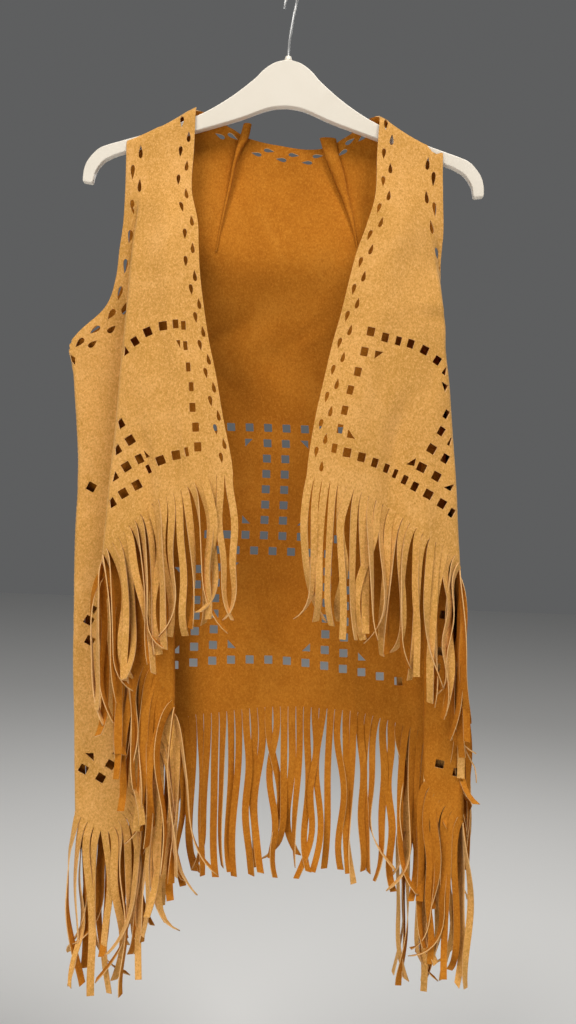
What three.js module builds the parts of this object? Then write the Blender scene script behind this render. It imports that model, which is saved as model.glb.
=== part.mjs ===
// A fringed faux suede vest, open at the front, hanging on a plastic hanger.
// Units are millimetres, +Z is up, the front faces -Y, and the wearer's left is at +X.
// The origin is the inside top of the hanger's hook, where a rail carries it.
import * as THREE from "three";

// ---------- driving sizes ----------
const CLOTH = 1.4; // wall of the suede
const SEAM = 0.3; // space left where two stretches of cloth meet
const FOLD_RADIUS = 4.5; // largest radius of a fold seen from above
const SHOULDER_TIP = 168; // half width across the shoulder tips
const NECK_POINT = 97; // half width of the neck at the shoulder fold
const SHOULDER_Z = -167.6; // height of the shoulder tip
const NECK_DROP_Z = -167; // lowest point of the back neck
const DRAPE_DEPTH = 8.8; // how far the cloth stands from the hanger's middle plane
const UNDERARM_Z = -388; // height where the armhole closes
const LEAST_STEP = 2.5; // least space between two corners of a flattened fold
const UPPER_ROW_Z = -300; // a height where every panel has cloth

const HANGER = { thickness: 12, edge: 3, peakZ: -80 };
const HOOK = { wire: 1.5, bend: 20.5, centreZ: -19, swivel: 70, footZ: -79.6 };
const COLLAR = { low: 4.2, high: 3.2, bore: 1.9, height: 4.5 };
const FRINGE = { front: 150, side: 182, clearance: 1.1 };

const SUEDE = { color: 0xd2a067, roughness: 0.95, metalness: 0 };
const INSIDE = { color: 0xb9742f, roughness: 0.95, metalness: 0 };
const PLASTIC = { color: 0xf0e8dc, roughness: 0.35, metalness: 0 };
const STEEL = { color: 0xc9cacb, roughness: 0.25, metalness: 1 };

// ---------- section tables: a row for each height ----------
// edge is the opening edge, fold the visible outer fold, turn the hidden inner fold, side the armhole or
// side fold. open runs from 0, flat, to 1, fully folded. wrap is how far the cloth goes on round its side.
const FRONT_RIGHT_COLUMNS =
  ["z", "edgeX", "edgeY", "foldX", "foldY", "turnX", "turnY", "gap", "sideX", "sideY", "wrap", "open"];
const FRONT_RIGHT_ROWS = [
  [-130, -96, -8, -150, -9, -140, -8, 6, -169, -8, 0, 0],
  [-180, -94, -10, -150, -12, -140, -9, 6, -168, -9, 0, 0],
  [-226, -94, -18, -151, -18, -141, -10, 6, -167, -10, 0, 0],
  [-262, -86, -26, -153, -22, -144, -12, 6, -168, -10, 0, 0.35],
  [-290, -84, -31, -155, -26, -146, -15, 7, -171, -9, 0, 0.6],
  [-320, -82, -35, -156, -29, -146, -18, 8, -174, -7, 0, 0.8],
  [-351, -77, -38, -157, -31, -145, -20, 8, -185, -4, 0, 0.95],
  [-388, -70, -41, -159, -33, -143, -21, 8, -221, 0, 3, 1],
  [-424, -61, -44, -161, -34, -140, -21, 8, -217, 1, 9, 1],
  [-467, -52, -46, -163, -34, -135, -21, 8, -213, 2, 10, 1],
  [-521, -40, -47, -167, -34, -126, -21, 8, -209, 2, 10, 1],
  [-592, -36, -47, -171, -34, -112, -21, 8, -209, 2, 10, 1],
  [-659, -36, -47, -176, -34, -100, -21, 8, -208, 2, 10, 1],
  [-726, -36, -47, -178, -34, -95, -21, 8, -206, 2, 10, 1],
  [-910, -36, -47, -180, -34, -90, -21, 8, -197, 2, 10, 1],
];
// Here fold is the outline, wrap the way round it to the back, and turn the end of the pleat behind.
const FRONT_LEFT_COLUMNS =
  ["z", "edgeX", "edgeY", "foldX", "foldY", "wrap", "turnX", "turnY", "gap", "sideX", "sideY", "open"];
const FRONT_LEFT_ROWS = [
  [-130, 100, -8, 166, -9, 4, 162, -5, 0, 169, -8, 0],
  [-180, 98, -12, 166, -11, 4, 162, -5, 0, 168, -9, 0],
  [-226, 97, -23, 167, -13, 4, 163, -5, 0, 168, -10, 0],
  [-262, 88, -31, 169, -15, 6, 165, -5, 0, 169, -10, 0.1],
  [-290, 79, -34, 172, -17, 10, 168, -4, 0, 168, -6, 0.4],
  [-321, 72, -38, 174, -20, 22, 172, 3, 0, 171, 4, 0.8],
  [-355, 65, -41, 176, -23, 41, 161, 20, 4, 164, 15.5, 1],
  [-388, 57, -43, 178, -26, 49, 163, 24, 6, 167, 17, 1],
  [-424, 50, -46, 183, -27, 55, 157, 29, 7, 172, 20, 1],
  [-467, 42, -49, 186, -28, 57, 150, 30, 7, 180, 21, 1],
  [-521, 36, -50, 191.5, -28, 58, 142, 31, 7, 184, 21, 1],
  [-592, 36, -50, 198, -28, 58, 137, 31, 7, 186, 21, 1],
  [-692, 36, -50, 209, -28, 58, 142, 31, 7, 189, 21, 1],
  [-790, 36, -50, 220, -28, 58, 148, 31, 7, 201, 21, 1],
  [-910, 36, -50, 227, -28, 58, 156, 31, 7, 207, 21, 1],
];
// The back runs from side to side, with a hidden pleat (tuck, then turn) and then the strip on the right.
const BACK_COLUMNS =
  ["z", "quarterY", "centreY", "tuckX", "tuckY", "turnX", "turnY", "gap", "stripX", "stripY", "open"];
const BACK_ROWS = [
  [-130, 9, 12, 160, 9, 150, 4, 4, 168, 8, 0],
  [-180, 11, 14, 160, 9, 150, 4, 4, 167, 9, 0],
  [-226, 13, 16, 160, 10, 150, 4, 4, 165, 9, 0],
  [-262, 14, 17, 160, 10, 151, 4, 4, 164, 9, 0],
  [-290, 14, 18, 160, 10, 152, 4, 5, 163, 8, 0.1],
  [-320, 15, 18, 160, 11, 152, 5, 6, 163, 6, 0.4],
  [-351, 15, 19, 158, 11, 152, 6, 7, 165, -1, 0.8],
  [-388, 15, 20, 163, 12, 154, 6, 7, 173, -3, 1],
  [-424, 16, 20, 168, 12, 154, 6, 7, 179, -4, 1],
  [-467, 16, 21, 174, 12, 156, 5, 7, 182, -4, 1],
  [-521, 17, 22, 178, 12, 160, 5, 7, 186, -4, 1],
  [-592, 17, 22, 181, 12, 165, 5, 7, 190, -4, 1],
  [-692, 18, 23, 190, 12, 169, 5, 7, 201, -4, 1],
  [-790, 18, 23, 197, 12, 173, 5, 7, 213, -4, 1],
  [-910, 18, 24, 203, 12, 177, 5, 7, 219, -4, 1],
];
// The back's armholes. Below the underarm, the back meets the fronts.
const BACK_ARMHOLE_COLUMNS = ["z", "leftX", "leftY", "rightX", "rightY"];
const BACK_ARMHOLE_ROWS = [
  [-130, -168, 8, 168, 8],
  [-180, -167, 9, 167, 9],
  [-226, -165, 10, 165, 9],
  [-262, -164, 10, 164, 9],
  [-290, -165, 10, 163, 8],
  [-320, -169, 10, 163, 8],
  [-351, -181, 9, 162, 7],
  [-375, -205, 5.5, 167.5, 12],
  [-388, -218, 3.5, 167, 17],
];

// Hems: how high the cloth ends, along the cloth from the opening edge (or from the left fold of the back).
const FRONT_RIGHT_HEM = [[0, -527], [30, -528], [47, -540], [76, -553], [94, -567], [129, -603], [140, -616],
  [272, -836], [310, -908], [346, -894], [370, -886]];
const FRONT_LEFT_HEM = [[0, -523], [15, -527], [43, -534], [71, -545], [103, -564], [131, -584], [162, -604],
  [327, -905], [345, -898], [380, -890]];
const BACK_HEM = [[0, -886], [60, -834], [100, -792], [142, -782], [210, -773], [287, -774], [330, -784],
  [378, -798], [406, -816], [432, -852], [475, -890], [505, -900]];

// Soft creases of the front panels: where along the cloth, how wide and deep, and over what heights.
const CREASES = {
  front_right: [
    { along: 44, width: 7, depth: 3, top: -430, low: -560 },
    { along: 88, width: 6, depth: -5, top: -460, low: -600 },
    { along: 30, width: 16, depth: 4, top: -220, low: -420 },
  ],
  front_left: [
    { along: 88, width: 12, depth: -6, top: -420, low: -600 },
    { along: 40, width: 18, depth: 4, top: -230, low: -420 },
    { along: 125, width: 10, depth: 3, top: -380, low: -600 },
  ],
  back: [
    { along: 150, width: 30, depth: -3, top: -300, low: -790 },
    { along: 270, width: 26, depth: 3, top: -420, low: -790 },
  ],
};

// ---------- small helpers ----------
const clamp = (value, low, high) => Math.min(high, Math.max(low, value));
const smooth = (value, from, to) => {
  const t = clamp((value - from) / (to - from), 0, 1);
  return t * t * (3 - 2 * t);
};

// Smooth interpolation of one column of a table whose first column is the position.
function reading(rows, column, at) {
  const falling = rows[0][0] > rows[rows.length - 1][0] ? -1 : 1;
  let i = rows.findIndex((row) => row[0] * falling > at * falling) - 1;
  if (i === -2) i = rows.length - 2;
  i = clamp(i, 0, rows.length - 2);
  const [before, low, high, after] = [i - 1, i, i + 1, i + 2].map((k) => rows[clamp(k, 0, rows.length - 1)]);
  const t = clamp((at - low[0]) / (high[0] - low[0]), 0, 1);
  const step = high[0] - low[0];
  const slopeLow = (high[column] - before[column]) / (high[0] - before[0]);
  const slopeHigh = (after[column] - low[column]) / (after[0] - low[0]);
  const [t2, t3] = [t * t, t * t * t];
  return (2 * t3 - 3 * t2 + 1) * low[column] + (t3 - 2 * t2 + t) * slopeLow * step +
    (3 * t2 - 2 * t3) * high[column] + (t3 - t2) * slopeHigh * step;
}

function section(columns, rows, z) {
  return Object.fromEntries(columns.map((name, k) => [name, reading(rows, k, z)]));
}

// The same corner points laid out straight from first to last, so that a fold can open by degrees.
function flattened(points) {
  const lengths = points.map((point, k) => (k ? Math.max(point.distanceTo(points[k - 1]), LEAST_STEP) : 0));
  const total = lengths.reduce((sum, length) => sum + length, 0);
  let run = 0;
  return points.map((point, k) => {
    run += lengths[k];
    return points[0].clone().lerp(points[points.length - 1], run / total);
  });
}

const pair = (x, y) => new THREE.Vector2(x, y);

function cornersOfFrontRight(z) {
  const row = section(FRONT_RIGHT_COLUMNS, FRONT_RIGHT_ROWS, z);
  const points = [pair(row.edgeX, row.edgeY), pair(row.foldX, row.foldY), pair(row.foldX, row.foldY + row.gap),
    pair(row.turnX, row.turnY), pair(row.turnX, row.turnY + row.gap), pair(row.sideX, row.sideY)];
  const flat = flattened(points);
  const open = points.map((point, k) => flat[k].lerp(point, row.open));
  const around = Math.max(row.wrap, 0.6);
  return [...open, pair(row.sideX + 0.1, row.sideY + around), pair(row.sideX + around, row.sideY + around + 0.5)];
}

function cornersOfFrontLeft(z) {
  const row = section(FRONT_LEFT_COLUMNS, FRONT_LEFT_ROWS, z);
  const points = [pair(row.edgeX, row.edgeY), pair(row.foldX, row.foldY), pair(row.foldX, row.foldY + row.wrap),
    pair(row.turnX, row.turnY), pair(row.turnX, row.turnY - row.gap), pair(row.sideX, row.sideY)];
  const flat = flattened(points);
  return points.map((point, k) => flat[k].lerp(point, row.open));
}

// Where the back starts and ends: at its armholes, and lower down against the last corner of each front.
function endsOfBack(z) {
  if (z > UNDERARM_Z) {
    const row = section(BACK_ARMHOLE_COLUMNS, BACK_ARMHOLE_ROWS, z);
    return [pair(row.leftX, row.leftY), pair(row.rightX, row.rightY)];
  }
  return [cornersOfFrontRight(z), cornersOfFrontLeft(z)].map((corners) => corners[corners.length - 1]);
}

function cornersOfBack(z) {
  const row = section(BACK_COLUMNS, BACK_ROWS, z);
  const gap = pair(SEAM, 0);
  const [start, end] = endsOfBack(z).map((point) => point.clone().add(gap));
  const middle = [start, pair(-100, row.quarterY), pair(3, row.centreY)];
  const folded = [pair(100, row.quarterY), pair(row.tuckX, row.tuckY), pair(row.tuckX, row.tuckY - row.gap),
    pair(row.turnX, row.turnY), pair(row.turnX, row.turnY - row.gap), pair(row.stripX, row.stripY),
    pair(row.stripX, end.y), end];
  const flat = flattened(folded);
  return [...middle, ...folded.map((point, k) => flat[k].lerp(point, row.open))];
}

// ---------- the cloth as columns at each height ----------
// The corners are rounded, and each run between two corners has its own number of columns.
const PANELS = {
  front_right: { corners: cornersOfFrontRight, runs: [7, 1, 3, 1, 5, 1, 1], hem: FRONT_RIGHT_HEM, face: -1 },
  front_left: { corners: cornersOfFrontLeft, runs: [8, 3, 4, 1, 3], hem: FRONT_LEFT_HEM, face: -1 },
  back: { corners: cornersOfBack, runs: [4, 4, 4, 3, 1, 2, 1, 3, 2, 1], hem: BACK_HEM, face: 1 },
};

function columnsAt(panel, z) {
  const corners = panel.corners(z);
  const cuts = corners.map((corner, k) => {
    if (k === 0 || k === corners.length - 1) return [corner];
    const toBefore = corners[k - 1].clone().sub(corner);
    const toAfter = corners[k + 1].clone().sub(corner);
    const angle = Math.abs(toBefore.angleTo(toAfter));
    const room = 0.45 * Math.min(toBefore.length(), toAfter.length());
    const tangent = Math.min(room, Math.max(FOLD_RADIUS / Math.tan(angle / 2), 1));
    const start = corner.clone().add(toBefore.setLength(tangent));
    const end = corner.clone().add(toAfter.setLength(tangent));
    const middle = corner.clone().multiplyScalar(0.5).addScaledVector(start, 0.25).addScaledVector(end, 0.25);
    return [start, middle, end];
  });
  const points = [];
  cuts.forEach((cut, k) => {
    points.push(...cut);
    const next = cuts[k + 1];
    for (let i = 1; next && i < panel.runs[k]; i++) {
      points.push(cut[cut.length - 1].clone().lerp(next[0], i / panel.runs[k]));
    }
  });
  let along = 0;
  return points.map((point, k) => {
    if (k) along += point.distanceTo(points[k - 1]);
    return { x: point.x, y: point.y, along };
  });
}

// Height of the shoulder fold: along the hanger's arm, and standing up towards the neck.
function shoulderHeight(x) {
  const inwards = SHOULDER_TIP - Math.abs(x);
  return SHOULDER_Z + 0.36 * inwards + 0.0026 * inwards * inwards;
}

function topHeight(x) {
  if (Math.abs(x) >= NECK_POINT) return Math.min(shoulderHeight(x), shoulderHeight(NECK_POINT));
  const rise = shoulderHeight(NECK_POINT) - NECK_DROP_Z;
  return NECK_DROP_Z + rise * (Math.abs(x) / NECK_POINT) ** 1.9;
}

// The height where a falling condition turns, by halving.
function settle(excess, high, low) {
  for (let i = 0; i < 30; i++) {
    const middle = (high + low) / 2;
    if (excess(middle) > 0) high = middle;
    else low = middle;
  }
  return (high + low) / 2;
}

function topOfColumn(panel, j) {
  return settle((z) => z - topHeight(columnsAt(panel, z)[j].x), -125, -420);
}

function hemOfColumn(panel, j) {
  return settle((z) => z - reading(panel.hem, 1, columnsAt(panel, z)[j].along), -450, -940);
}

// A point of the cloth's middle surface: over the hanger at the shoulder, with the soft creases below.
function clothPoint(name, j, z) {
  const panel = PANELS[name];
  const column = columnsAt(panel, z)[j];
  const drop = clamp((shoulderHeight(column.x) - z) / DRAPE_DEPTH, 0, 1);
  const over = Math.sqrt(1 - (1 - drop) ** 2);
  let y = panel.face * Math.max(SEAM, Math.abs(column.y) * over);
  if (z < SHOULDER_Z - 2 * DRAPE_DEPTH) y = column.y;
  for (const crease of CREASES[name]) {
    const across = Math.exp(-(((column.along - crease.along) / crease.width) ** 2));
    const fade = smooth(z, crease.top, crease.top - 60);
    y -= crease.depth * across * fade;
  }
  return new THREE.Vector3(column.x, y, z);
}

// ---------- closed walls ----------
// Directions square to the cloth at each point of a grid, level from the row levelFrom down, so that
// the hems are cut square.
function normalsOf(grid, levelFrom) {
  return grid.map((row, i) => row.map((_, j) => {
    const downwards = grid[Math.min(i + 1, grid.length - 1)][j].clone().sub(grid[Math.max(i - 1, 0)][j]);
    const sideways = row[Math.min(j + 1, row.length - 1)].clone().sub(row[Math.max(j - 1, 0)]);
    const normal = downwards.cross(sideways);
    if (i >= levelFrom) normal.setZ(0);
    return normal.normalize();
  }));
}

// A wall of the given thickness on a grid of points: both faces and the rim all round.
function wallGeometry(grid, normals, thickness) {
  const rows = grid.length;
  const across = grid[0].length;
  const points = [];
  for (const side of [0.5, -0.5]) {
    for (let i = 0; i < rows; i++) {
      for (let j = 0; j < across; j++) {
        points.push(grid[i][j].clone().addScaledVector(normals[i][j], side * thickness));
      }
    }
  }
  const faces = [];
  const back = rows * across;
  const quad = (a, b, c, d) => faces.push(a, b, c, a, c, d);
  for (let i = 0; i + 1 < rows; i++) {
    for (let j = 0; j + 1 < across; j++) {
      const a = i * across + j;
      quad(a, a + across, a + across + 1, a + 1);
      quad(back + a, back + a + 1, back + a + across + 1, back + a + across);
    }
  }
  const rim = [];
  for (let j = 0; j < across; j++) rim.push(j);
  for (let i = 1; i < rows; i++) rim.push(i * across + across - 1);
  for (let j = across - 2; j >= 0; j--) rim.push((rows - 1) * across + j);
  for (let i = rows - 2; i > 0; i--) rim.push(i * across);
  rim.forEach((a, k) => {
    const b = rim[(k + 1) % rim.length];
    quad(a, b, back + b, back + a);
  });
  return closedGeometry(points, faces);
}

// Faces turned outwards, whichever way the grid ran.
function closedGeometry(points, faces) {
  let volume = 0;
  for (let k = 0; k < faces.length; k += 3) {
    const [a, b, c] = [points[faces[k]], points[faces[k + 1]], points[faces[k + 2]]];
    volume += a.dot(b.clone().cross(c));
  }
  if (volume < 0) faces.reverse();
  const geometry = new THREE.BufferGeometry();
  geometry.setAttribute("position", new THREE.Float32BufferAttribute(points.flatMap((p) => [p.x, p.y, p.z]), 3));
  geometry.setIndex(faces);
  return geometry;
}

function piece(name, geometry, look) {
  const mesh = new THREE.Mesh(geometry, new THREE.MeshStandardMaterial(look));
  mesh.name = name;
  return mesh;
}

// ---------- the vest ----------
const SHOULDER_DROPS = [0, 1.2, 4, 9, 17];
const ROWS = { chest: 7, skirt: 8 };

function columnCount(name) {
  return columnsAt(PANELS[name], UPPER_ROW_Z).length;
}

function panelForm(name) {
  const panel = PANELS[name];
  const tops = [];
  const hems = [];
  for (let j = 0; j < columnCount(name); j++) {
    tops.push(topOfColumn(panel, j));
    hems.push(hemOfColumn(panel, j));
  }
  const grid = SHOULDER_DROPS.map((drop) => tops.map((top, j) => clothPoint(name, j, top - drop)));
  const last = SHOULDER_DROPS[SHOULDER_DROPS.length - 1];
  const addRows = (count, from, to) => {
    for (let i = 1; i <= count; i++) {
      grid.push(tops.map((_, j) => clothPoint(name, j, THREE.MathUtils.lerp(from(j), to(j), i / count))));
    }
  };
  addRows(ROWS.chest, (j) => tops[j] - last, () => UNDERARM_Z);
  addRows(ROWS.skirt, () => UNDERARM_Z, (j) => hems[j]);
  return { grid, normals: normalsOf(grid, SHOULDER_DROPS.length) };
}

// The fringe hangs below the panel's hem, in the same folds, as deep as its strands reach.
const FRINGE_ROWS = [0, 0.45, 1];

function fringeGeometry(name) {
  const panel = PANELS[name];
  const grid = FRINGE_ROWS.map(() => []);
  for (let j = 0; j < columnCount(name); j++) {
    const hem = hemOfColumn(panel, j);
    const { along } = columnsAt(panel, hem)[j];
    const grown = name === "back" ? 1 : smooth(along, 60, 240);
    const reach = FRINGE.front + (FRINGE.side - FRINGE.front) * grown;
    grid.forEach((row, i) => row.push(clothPoint(name, j, hem - FRINGE.clearance - reach * FRINGE_ROWS[i])));
  }
  return wallGeometry(grid, normalsOf(grid, 0), CLOTH);
}

// ---------- darts ----------
// Each dart is a folded double layer that stands on the back's inside and narrows to a point.
const DARTS = {
  dart_right: { topX: -43, topZ: -150, endX: -70, endZ: -294, lean: -0.35 },
  dart_left: { topX: 44, topZ: -152, endX: 80, endZ: -286, lean: 0.25 },
};
const DART = { stand: 9, width: 3.6, rows: 7 };

// The back's inner face at a height, between the columns on each side.
function insideOfBack(x, z) {
  const columns = columnsAt(PANELS.back, z);
  const j = columns.findIndex((column) => column.x > x);
  const [low, high] = [clothPoint("back", j - 1, z), clothPoint("back", j, z)];
  const t = (x - low.x) / (high.x - low.x);
  return low.y + (high.y - low.y) * t - CLOTH / 2;
}

function dartGeometry({ topX, topZ, endX, endZ, lean }) {
  const rings = [];
  for (let i = 0; i <= DART.rows; i++) {
    const down = i / DART.rows;
    const z = topZ + (endZ - topZ) * down;
    const x = topX + (endX - topX) * down;
    const stand = DART.stand * (1 - down) + 1.2 * down;
    const half = (DART.width * (1 - down) + 1.2 * down) / 2;
    const seat = insideOfBack(x, Math.min(z, NECK_DROP_Z)) - 2 * SEAM;
    const outline = [[-half, 0], [half, 0], [half, 0.75], [half * 0.5, 1], [-half * 0.5, 1], [-half, 0.75]];
    rings.push(outline.map(([side, out]) =>
      new THREE.Vector3(x + side + lean * stand * out, seat - stand * out, z)));
  }
  return loftGeometry(rings);
}

function loftGeometry(rings) {
  const count = rings[0].length;
  const faces = [];
  for (let i = 0; i + 1 < rings.length; i++) {
    for (let k = 0; k < count; k++) {
      const [a, b] = [i * count + k, i * count + ((k + 1) % count)];
      faces.push(a, b, b + count, a, b + count, a + count);
    }
  }
  const last = (rings.length - 1) * count;
  for (let k = 1; k + 1 < count; k++) {
    faces.push(0, k + 1, k, last, last + k, last + k + 1);
  }
  return closedGeometry(rings.flat(), faces);
}

// ---------- the hanger ----------
// Half of its outline, from the middle of the top, round the tip, to the middle of the underside.
const HANGER_TOP = [[0, -80], [14, -84], [25.5, -92], [36.5, -103.5], [62.5, -124.5], [96, -144.5], [144, -163.5],
  [171, -172.5], [188, -178], [197, -182], [204, -188.5], [210, -197], [213, -206], [213.5, -215]];
const HANGER_UNDER = [[210, -220.5], [201.7, -220], [201.5, -211], [198.5, -203], [192.5, -195.5], [185, -191],
  [168.5, -184.5], [98, -161], [50, -145], [28, -136], [14, -131.5], [0, -130]];

function hangerGeometry() {
  const half = [...HANGER_TOP, ...HANGER_UNDER];
  const mirrored = half.slice(1, -1).reverse().map(([x, z]) => [-x, z]);
  const outline = [...half, ...mirrored].map(([x, z]) => pair(x, z));
  const shape = new THREE.Shape(outline);
  const geometry = new THREE.ExtrudeGeometry(shape, {
    depth: HANGER.thickness - 2 * HANGER.edge,
    bevelThickness: HANGER.edge,
    bevelSize: HANGER.edge,
    bevelOffset: -HANGER.edge,
    bevelSegments: 2,
  });
  geometry.translate(0, 0, HANGER.edge - HANGER.thickness / 2);
  geometry.rotateX(Math.PI / 2);
  return geometry;
}

// The cone that the hook stands in, with its bore.
function collarGeometry() {
  const { low, high, bore, height } = COLLAR;
  const profile = [pair(bore, 0), pair(low, 0), pair(high, height), pair(bore, height), pair(bore, 0)];
  const geometry = new THREE.LatheGeometry(profile, 20);
  geometry.rotateX(Math.PI / 2);
  geometry.translate(0, 0, HANGER.peakZ + 2 * SEAM);
  return geometry;
}

// The wire rises from the hanger, swings forward and closes over the rail in a round bend.
function hookGeometry() {
  const swivel = THREE.MathUtils.degToRad(HOOK.swivel);
  const outwards = new THREE.Vector3(Math.cos(swivel), -Math.sin(swivel), 0);
  const points = [new THREE.Vector3(0, 0, HOOK.footZ), new THREE.Vector3(0, 0, HOOK.footZ + 14),
    outwards.clone().multiplyScalar(4).setZ(-52)];
  for (let angle = -50; angle <= 195; angle += 20) {
    const turn = THREE.MathUtils.degToRad(angle);
    const point = outwards.clone().multiplyScalar(HOOK.bend * Math.cos(turn));
    points.push(point.setZ(HOOK.centreZ + HOOK.bend * Math.sin(turn)));
  }
  const round = new THREE.Shape();
  round.absarc(0, 0, HOOK.wire, 0, 2 * Math.PI);
  const path = new THREE.CatmullRomCurve3(points, false, "centripetal");
  return new THREE.ExtrudeGeometry(round, { steps: 60, curveSegments: 5, bevelEnabled: false, extrudePath: path });
}

// ---------- the whole ----------
const vest = new THREE.Group();
vest.add(piece("hanger", hangerGeometry(), PLASTIC));
vest.add(piece("hanger_collar", collarGeometry(), PLASTIC));
vest.add(piece("hook", hookGeometry(), STEEL));
for (const name of Object.keys(PANELS)) {
  const form = panelForm(name);
  vest.add(piece(name, wallGeometry(form.grid, form.normals, CLOTH), SUEDE));
  vest.add(piece(`fringe_${name}`, fringeGeometry(name), SUEDE));
}
for (const [name, dart] of Object.entries(DARTS)) {
  vest.add(piece(name, dartGeometry(dart), INSIDE));
}
export default vest;
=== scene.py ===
import math
import random

import bmesh
import bpy
import numpy as np
from mathutils import Matrix, Quaternion, Vector, noise
from mathutils.geometry import delaunay_2d_cdt


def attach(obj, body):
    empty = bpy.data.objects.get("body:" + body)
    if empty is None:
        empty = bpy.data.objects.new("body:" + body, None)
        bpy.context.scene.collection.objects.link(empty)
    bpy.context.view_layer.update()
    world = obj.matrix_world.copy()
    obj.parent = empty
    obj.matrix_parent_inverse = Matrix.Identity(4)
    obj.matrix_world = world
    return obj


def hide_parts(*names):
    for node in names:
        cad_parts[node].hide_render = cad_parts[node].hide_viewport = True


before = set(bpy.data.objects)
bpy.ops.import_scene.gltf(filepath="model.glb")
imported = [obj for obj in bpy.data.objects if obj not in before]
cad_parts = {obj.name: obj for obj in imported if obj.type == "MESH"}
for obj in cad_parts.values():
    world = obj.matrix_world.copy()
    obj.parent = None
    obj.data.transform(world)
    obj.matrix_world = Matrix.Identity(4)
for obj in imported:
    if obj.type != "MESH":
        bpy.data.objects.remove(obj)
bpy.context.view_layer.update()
MM = 0.001

# ---------- driving sizes ----------
WALL = 1.15            # thickness of the suede
WELD = 1.7             # panels are welded where their edges come this near
CORNER_RADIUS = 4.8    # largest radius of a fold seen from above
ARC_POINTS = 6         # points of the arc that rounds it
SHOULDER_TIP = 168.0   # x of the shoulders' ends
NECK_POINT = 97.0      # x where the shoulder folds meet the neck
SHOULDER_Z = -171.2    # height of the folds at the shoulders' ends
ARMHOLE_TOP_LEFT = 146.0   # where a shoulder's fold ends and the armhole's edge slopes down over the hanger
ARMHOLE_TOP_RIGHT = 134.0
ARMHOLE_DIP = 3.4      # how far it slopes down
LEFT_DENT = {"x": 158.5, "width": 5.0, "depth": 6.5}  # a small dip in the left one
NECK_DROP_Z = -166.5   # height of the neck line at the middle of the back
NECK_ROLL = 89.0       # how far out the neck line reaches the height of the shoulder folds
NECK_SAG = 0.13        # the neck line sags towards the wearer's left
DRAPE_DEPTH = 8.8      # how far the cloth stands from the hanger's middle plane
UNDERARM_Z = -388.0    # where the armholes end
LOWEST_HEM = -890.0    # where the search for the meeting of two hems begins
LEAST_STEP = 2.5       # shortest stretch between two corners of a plan that is laid flat
LEVELS_FROM = -110.0   # the heights at which a panel's plan is worked out, from the top
LEVELS_TO = -1125.0
LEVEL_STEP = 3.0
CLOTH_GRID = 6.0       # size of the cloth's own facets
EDGE_STEP = 5.0        # and of their edges along openings and shoulders
SHOULDER_LEVEL = -170.0  # the height at which the length of a panel's upper edge is taken
SHOULDER_GRID_END = -236.0  # above this the rows of facets follow the shoulder's slope
STRAND_PITCH = 8.4     # distance from slit to slit of the fringe
SLIT = 0.35            # width of a slit
FRINGE_FRONT = 152.0   # length of the strands at the opening edges
FRINGE_SIDE = 180.0    # and at the sides and the back
STRAND_STEPS = 24      # lengths that a strand's path is made of
LEAN = math.radians(1.3)  # the hanger sits a little askew on its rail, so the strands lean
ROOM = {"x": (-203, 230), "y": (-54, 34)}  # the strands turn back from these planes
ROOM_EASE = 12         # over this distance

# ---------- how each panel hangs, from above: a row for each height ----------
FRONT_RIGHT_COLUMNS = ("z", "edge_x", "edge_y", "fold_x", "fold_y", "turn_x", "turn_y", "gap",
                       "side_x", "side_y", "wrap", "open")
FRONT_RIGHT_ROWS = [
    (-130, -96, -8, -150, -9, -140, -8, 6, -169, -8, 0, 0),
    (-180, -96, -10, -152, -12, -140, -9, 6, -168, -9, 0, 0),
    (-226, -96, -18, -154, -18, -141, -10, 6, -167, -10, 0, 0),
    (-262, -87.5, -26, -154, -22, -144, -12, 6, -168, -10, 0, 0.5),
    (-290, -85, -31, -155, -26, -146, -15, 7, -171, -9, 0, 0.85),
    (-320, -82, -35, -156, -29, -146, -18, 8, -174, -7, 0, 1),
    (-351, -77, -38, -157, -31, -145, -20, 8, -185, -4, 0, 0.95),
    (-388, -70, -41, -159, -33, -143, -21, 8, -221, 0, 3, 1),
    (-424, -61, -44, -161, -34, -140, -21, 8, -217, 1, 9, 1),
    (-467, -52, -46, -163, -34, -135, -21, 8, -213, 2, 10, 1),
    (-521, -40, -47, -167, -34, -126, -21, 8, -209, 2, 10, 1),
    (-592, -36, -47, -171, -34, -112, -21, 8, -209, 2, 10, 1),
    (-659, -36, -47, -176, -34, -100, -21, 8, -208, 2, 10, 1),
    (-726, -36, -47, -178, -34, -95, -21, 8, -206, 2, 10, 1),
    (-910, -36, -47, -180, -34, -90, -21, 8, -197, 2, 10, 1),
]
FRONT_LEFT_COLUMNS = ("z", "edge_x", "edge_y", "fold_x", "fold_y", "wrap", "turn_x", "turn_y", "gap",
                      "side_x", "side_y", "open")
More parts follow.
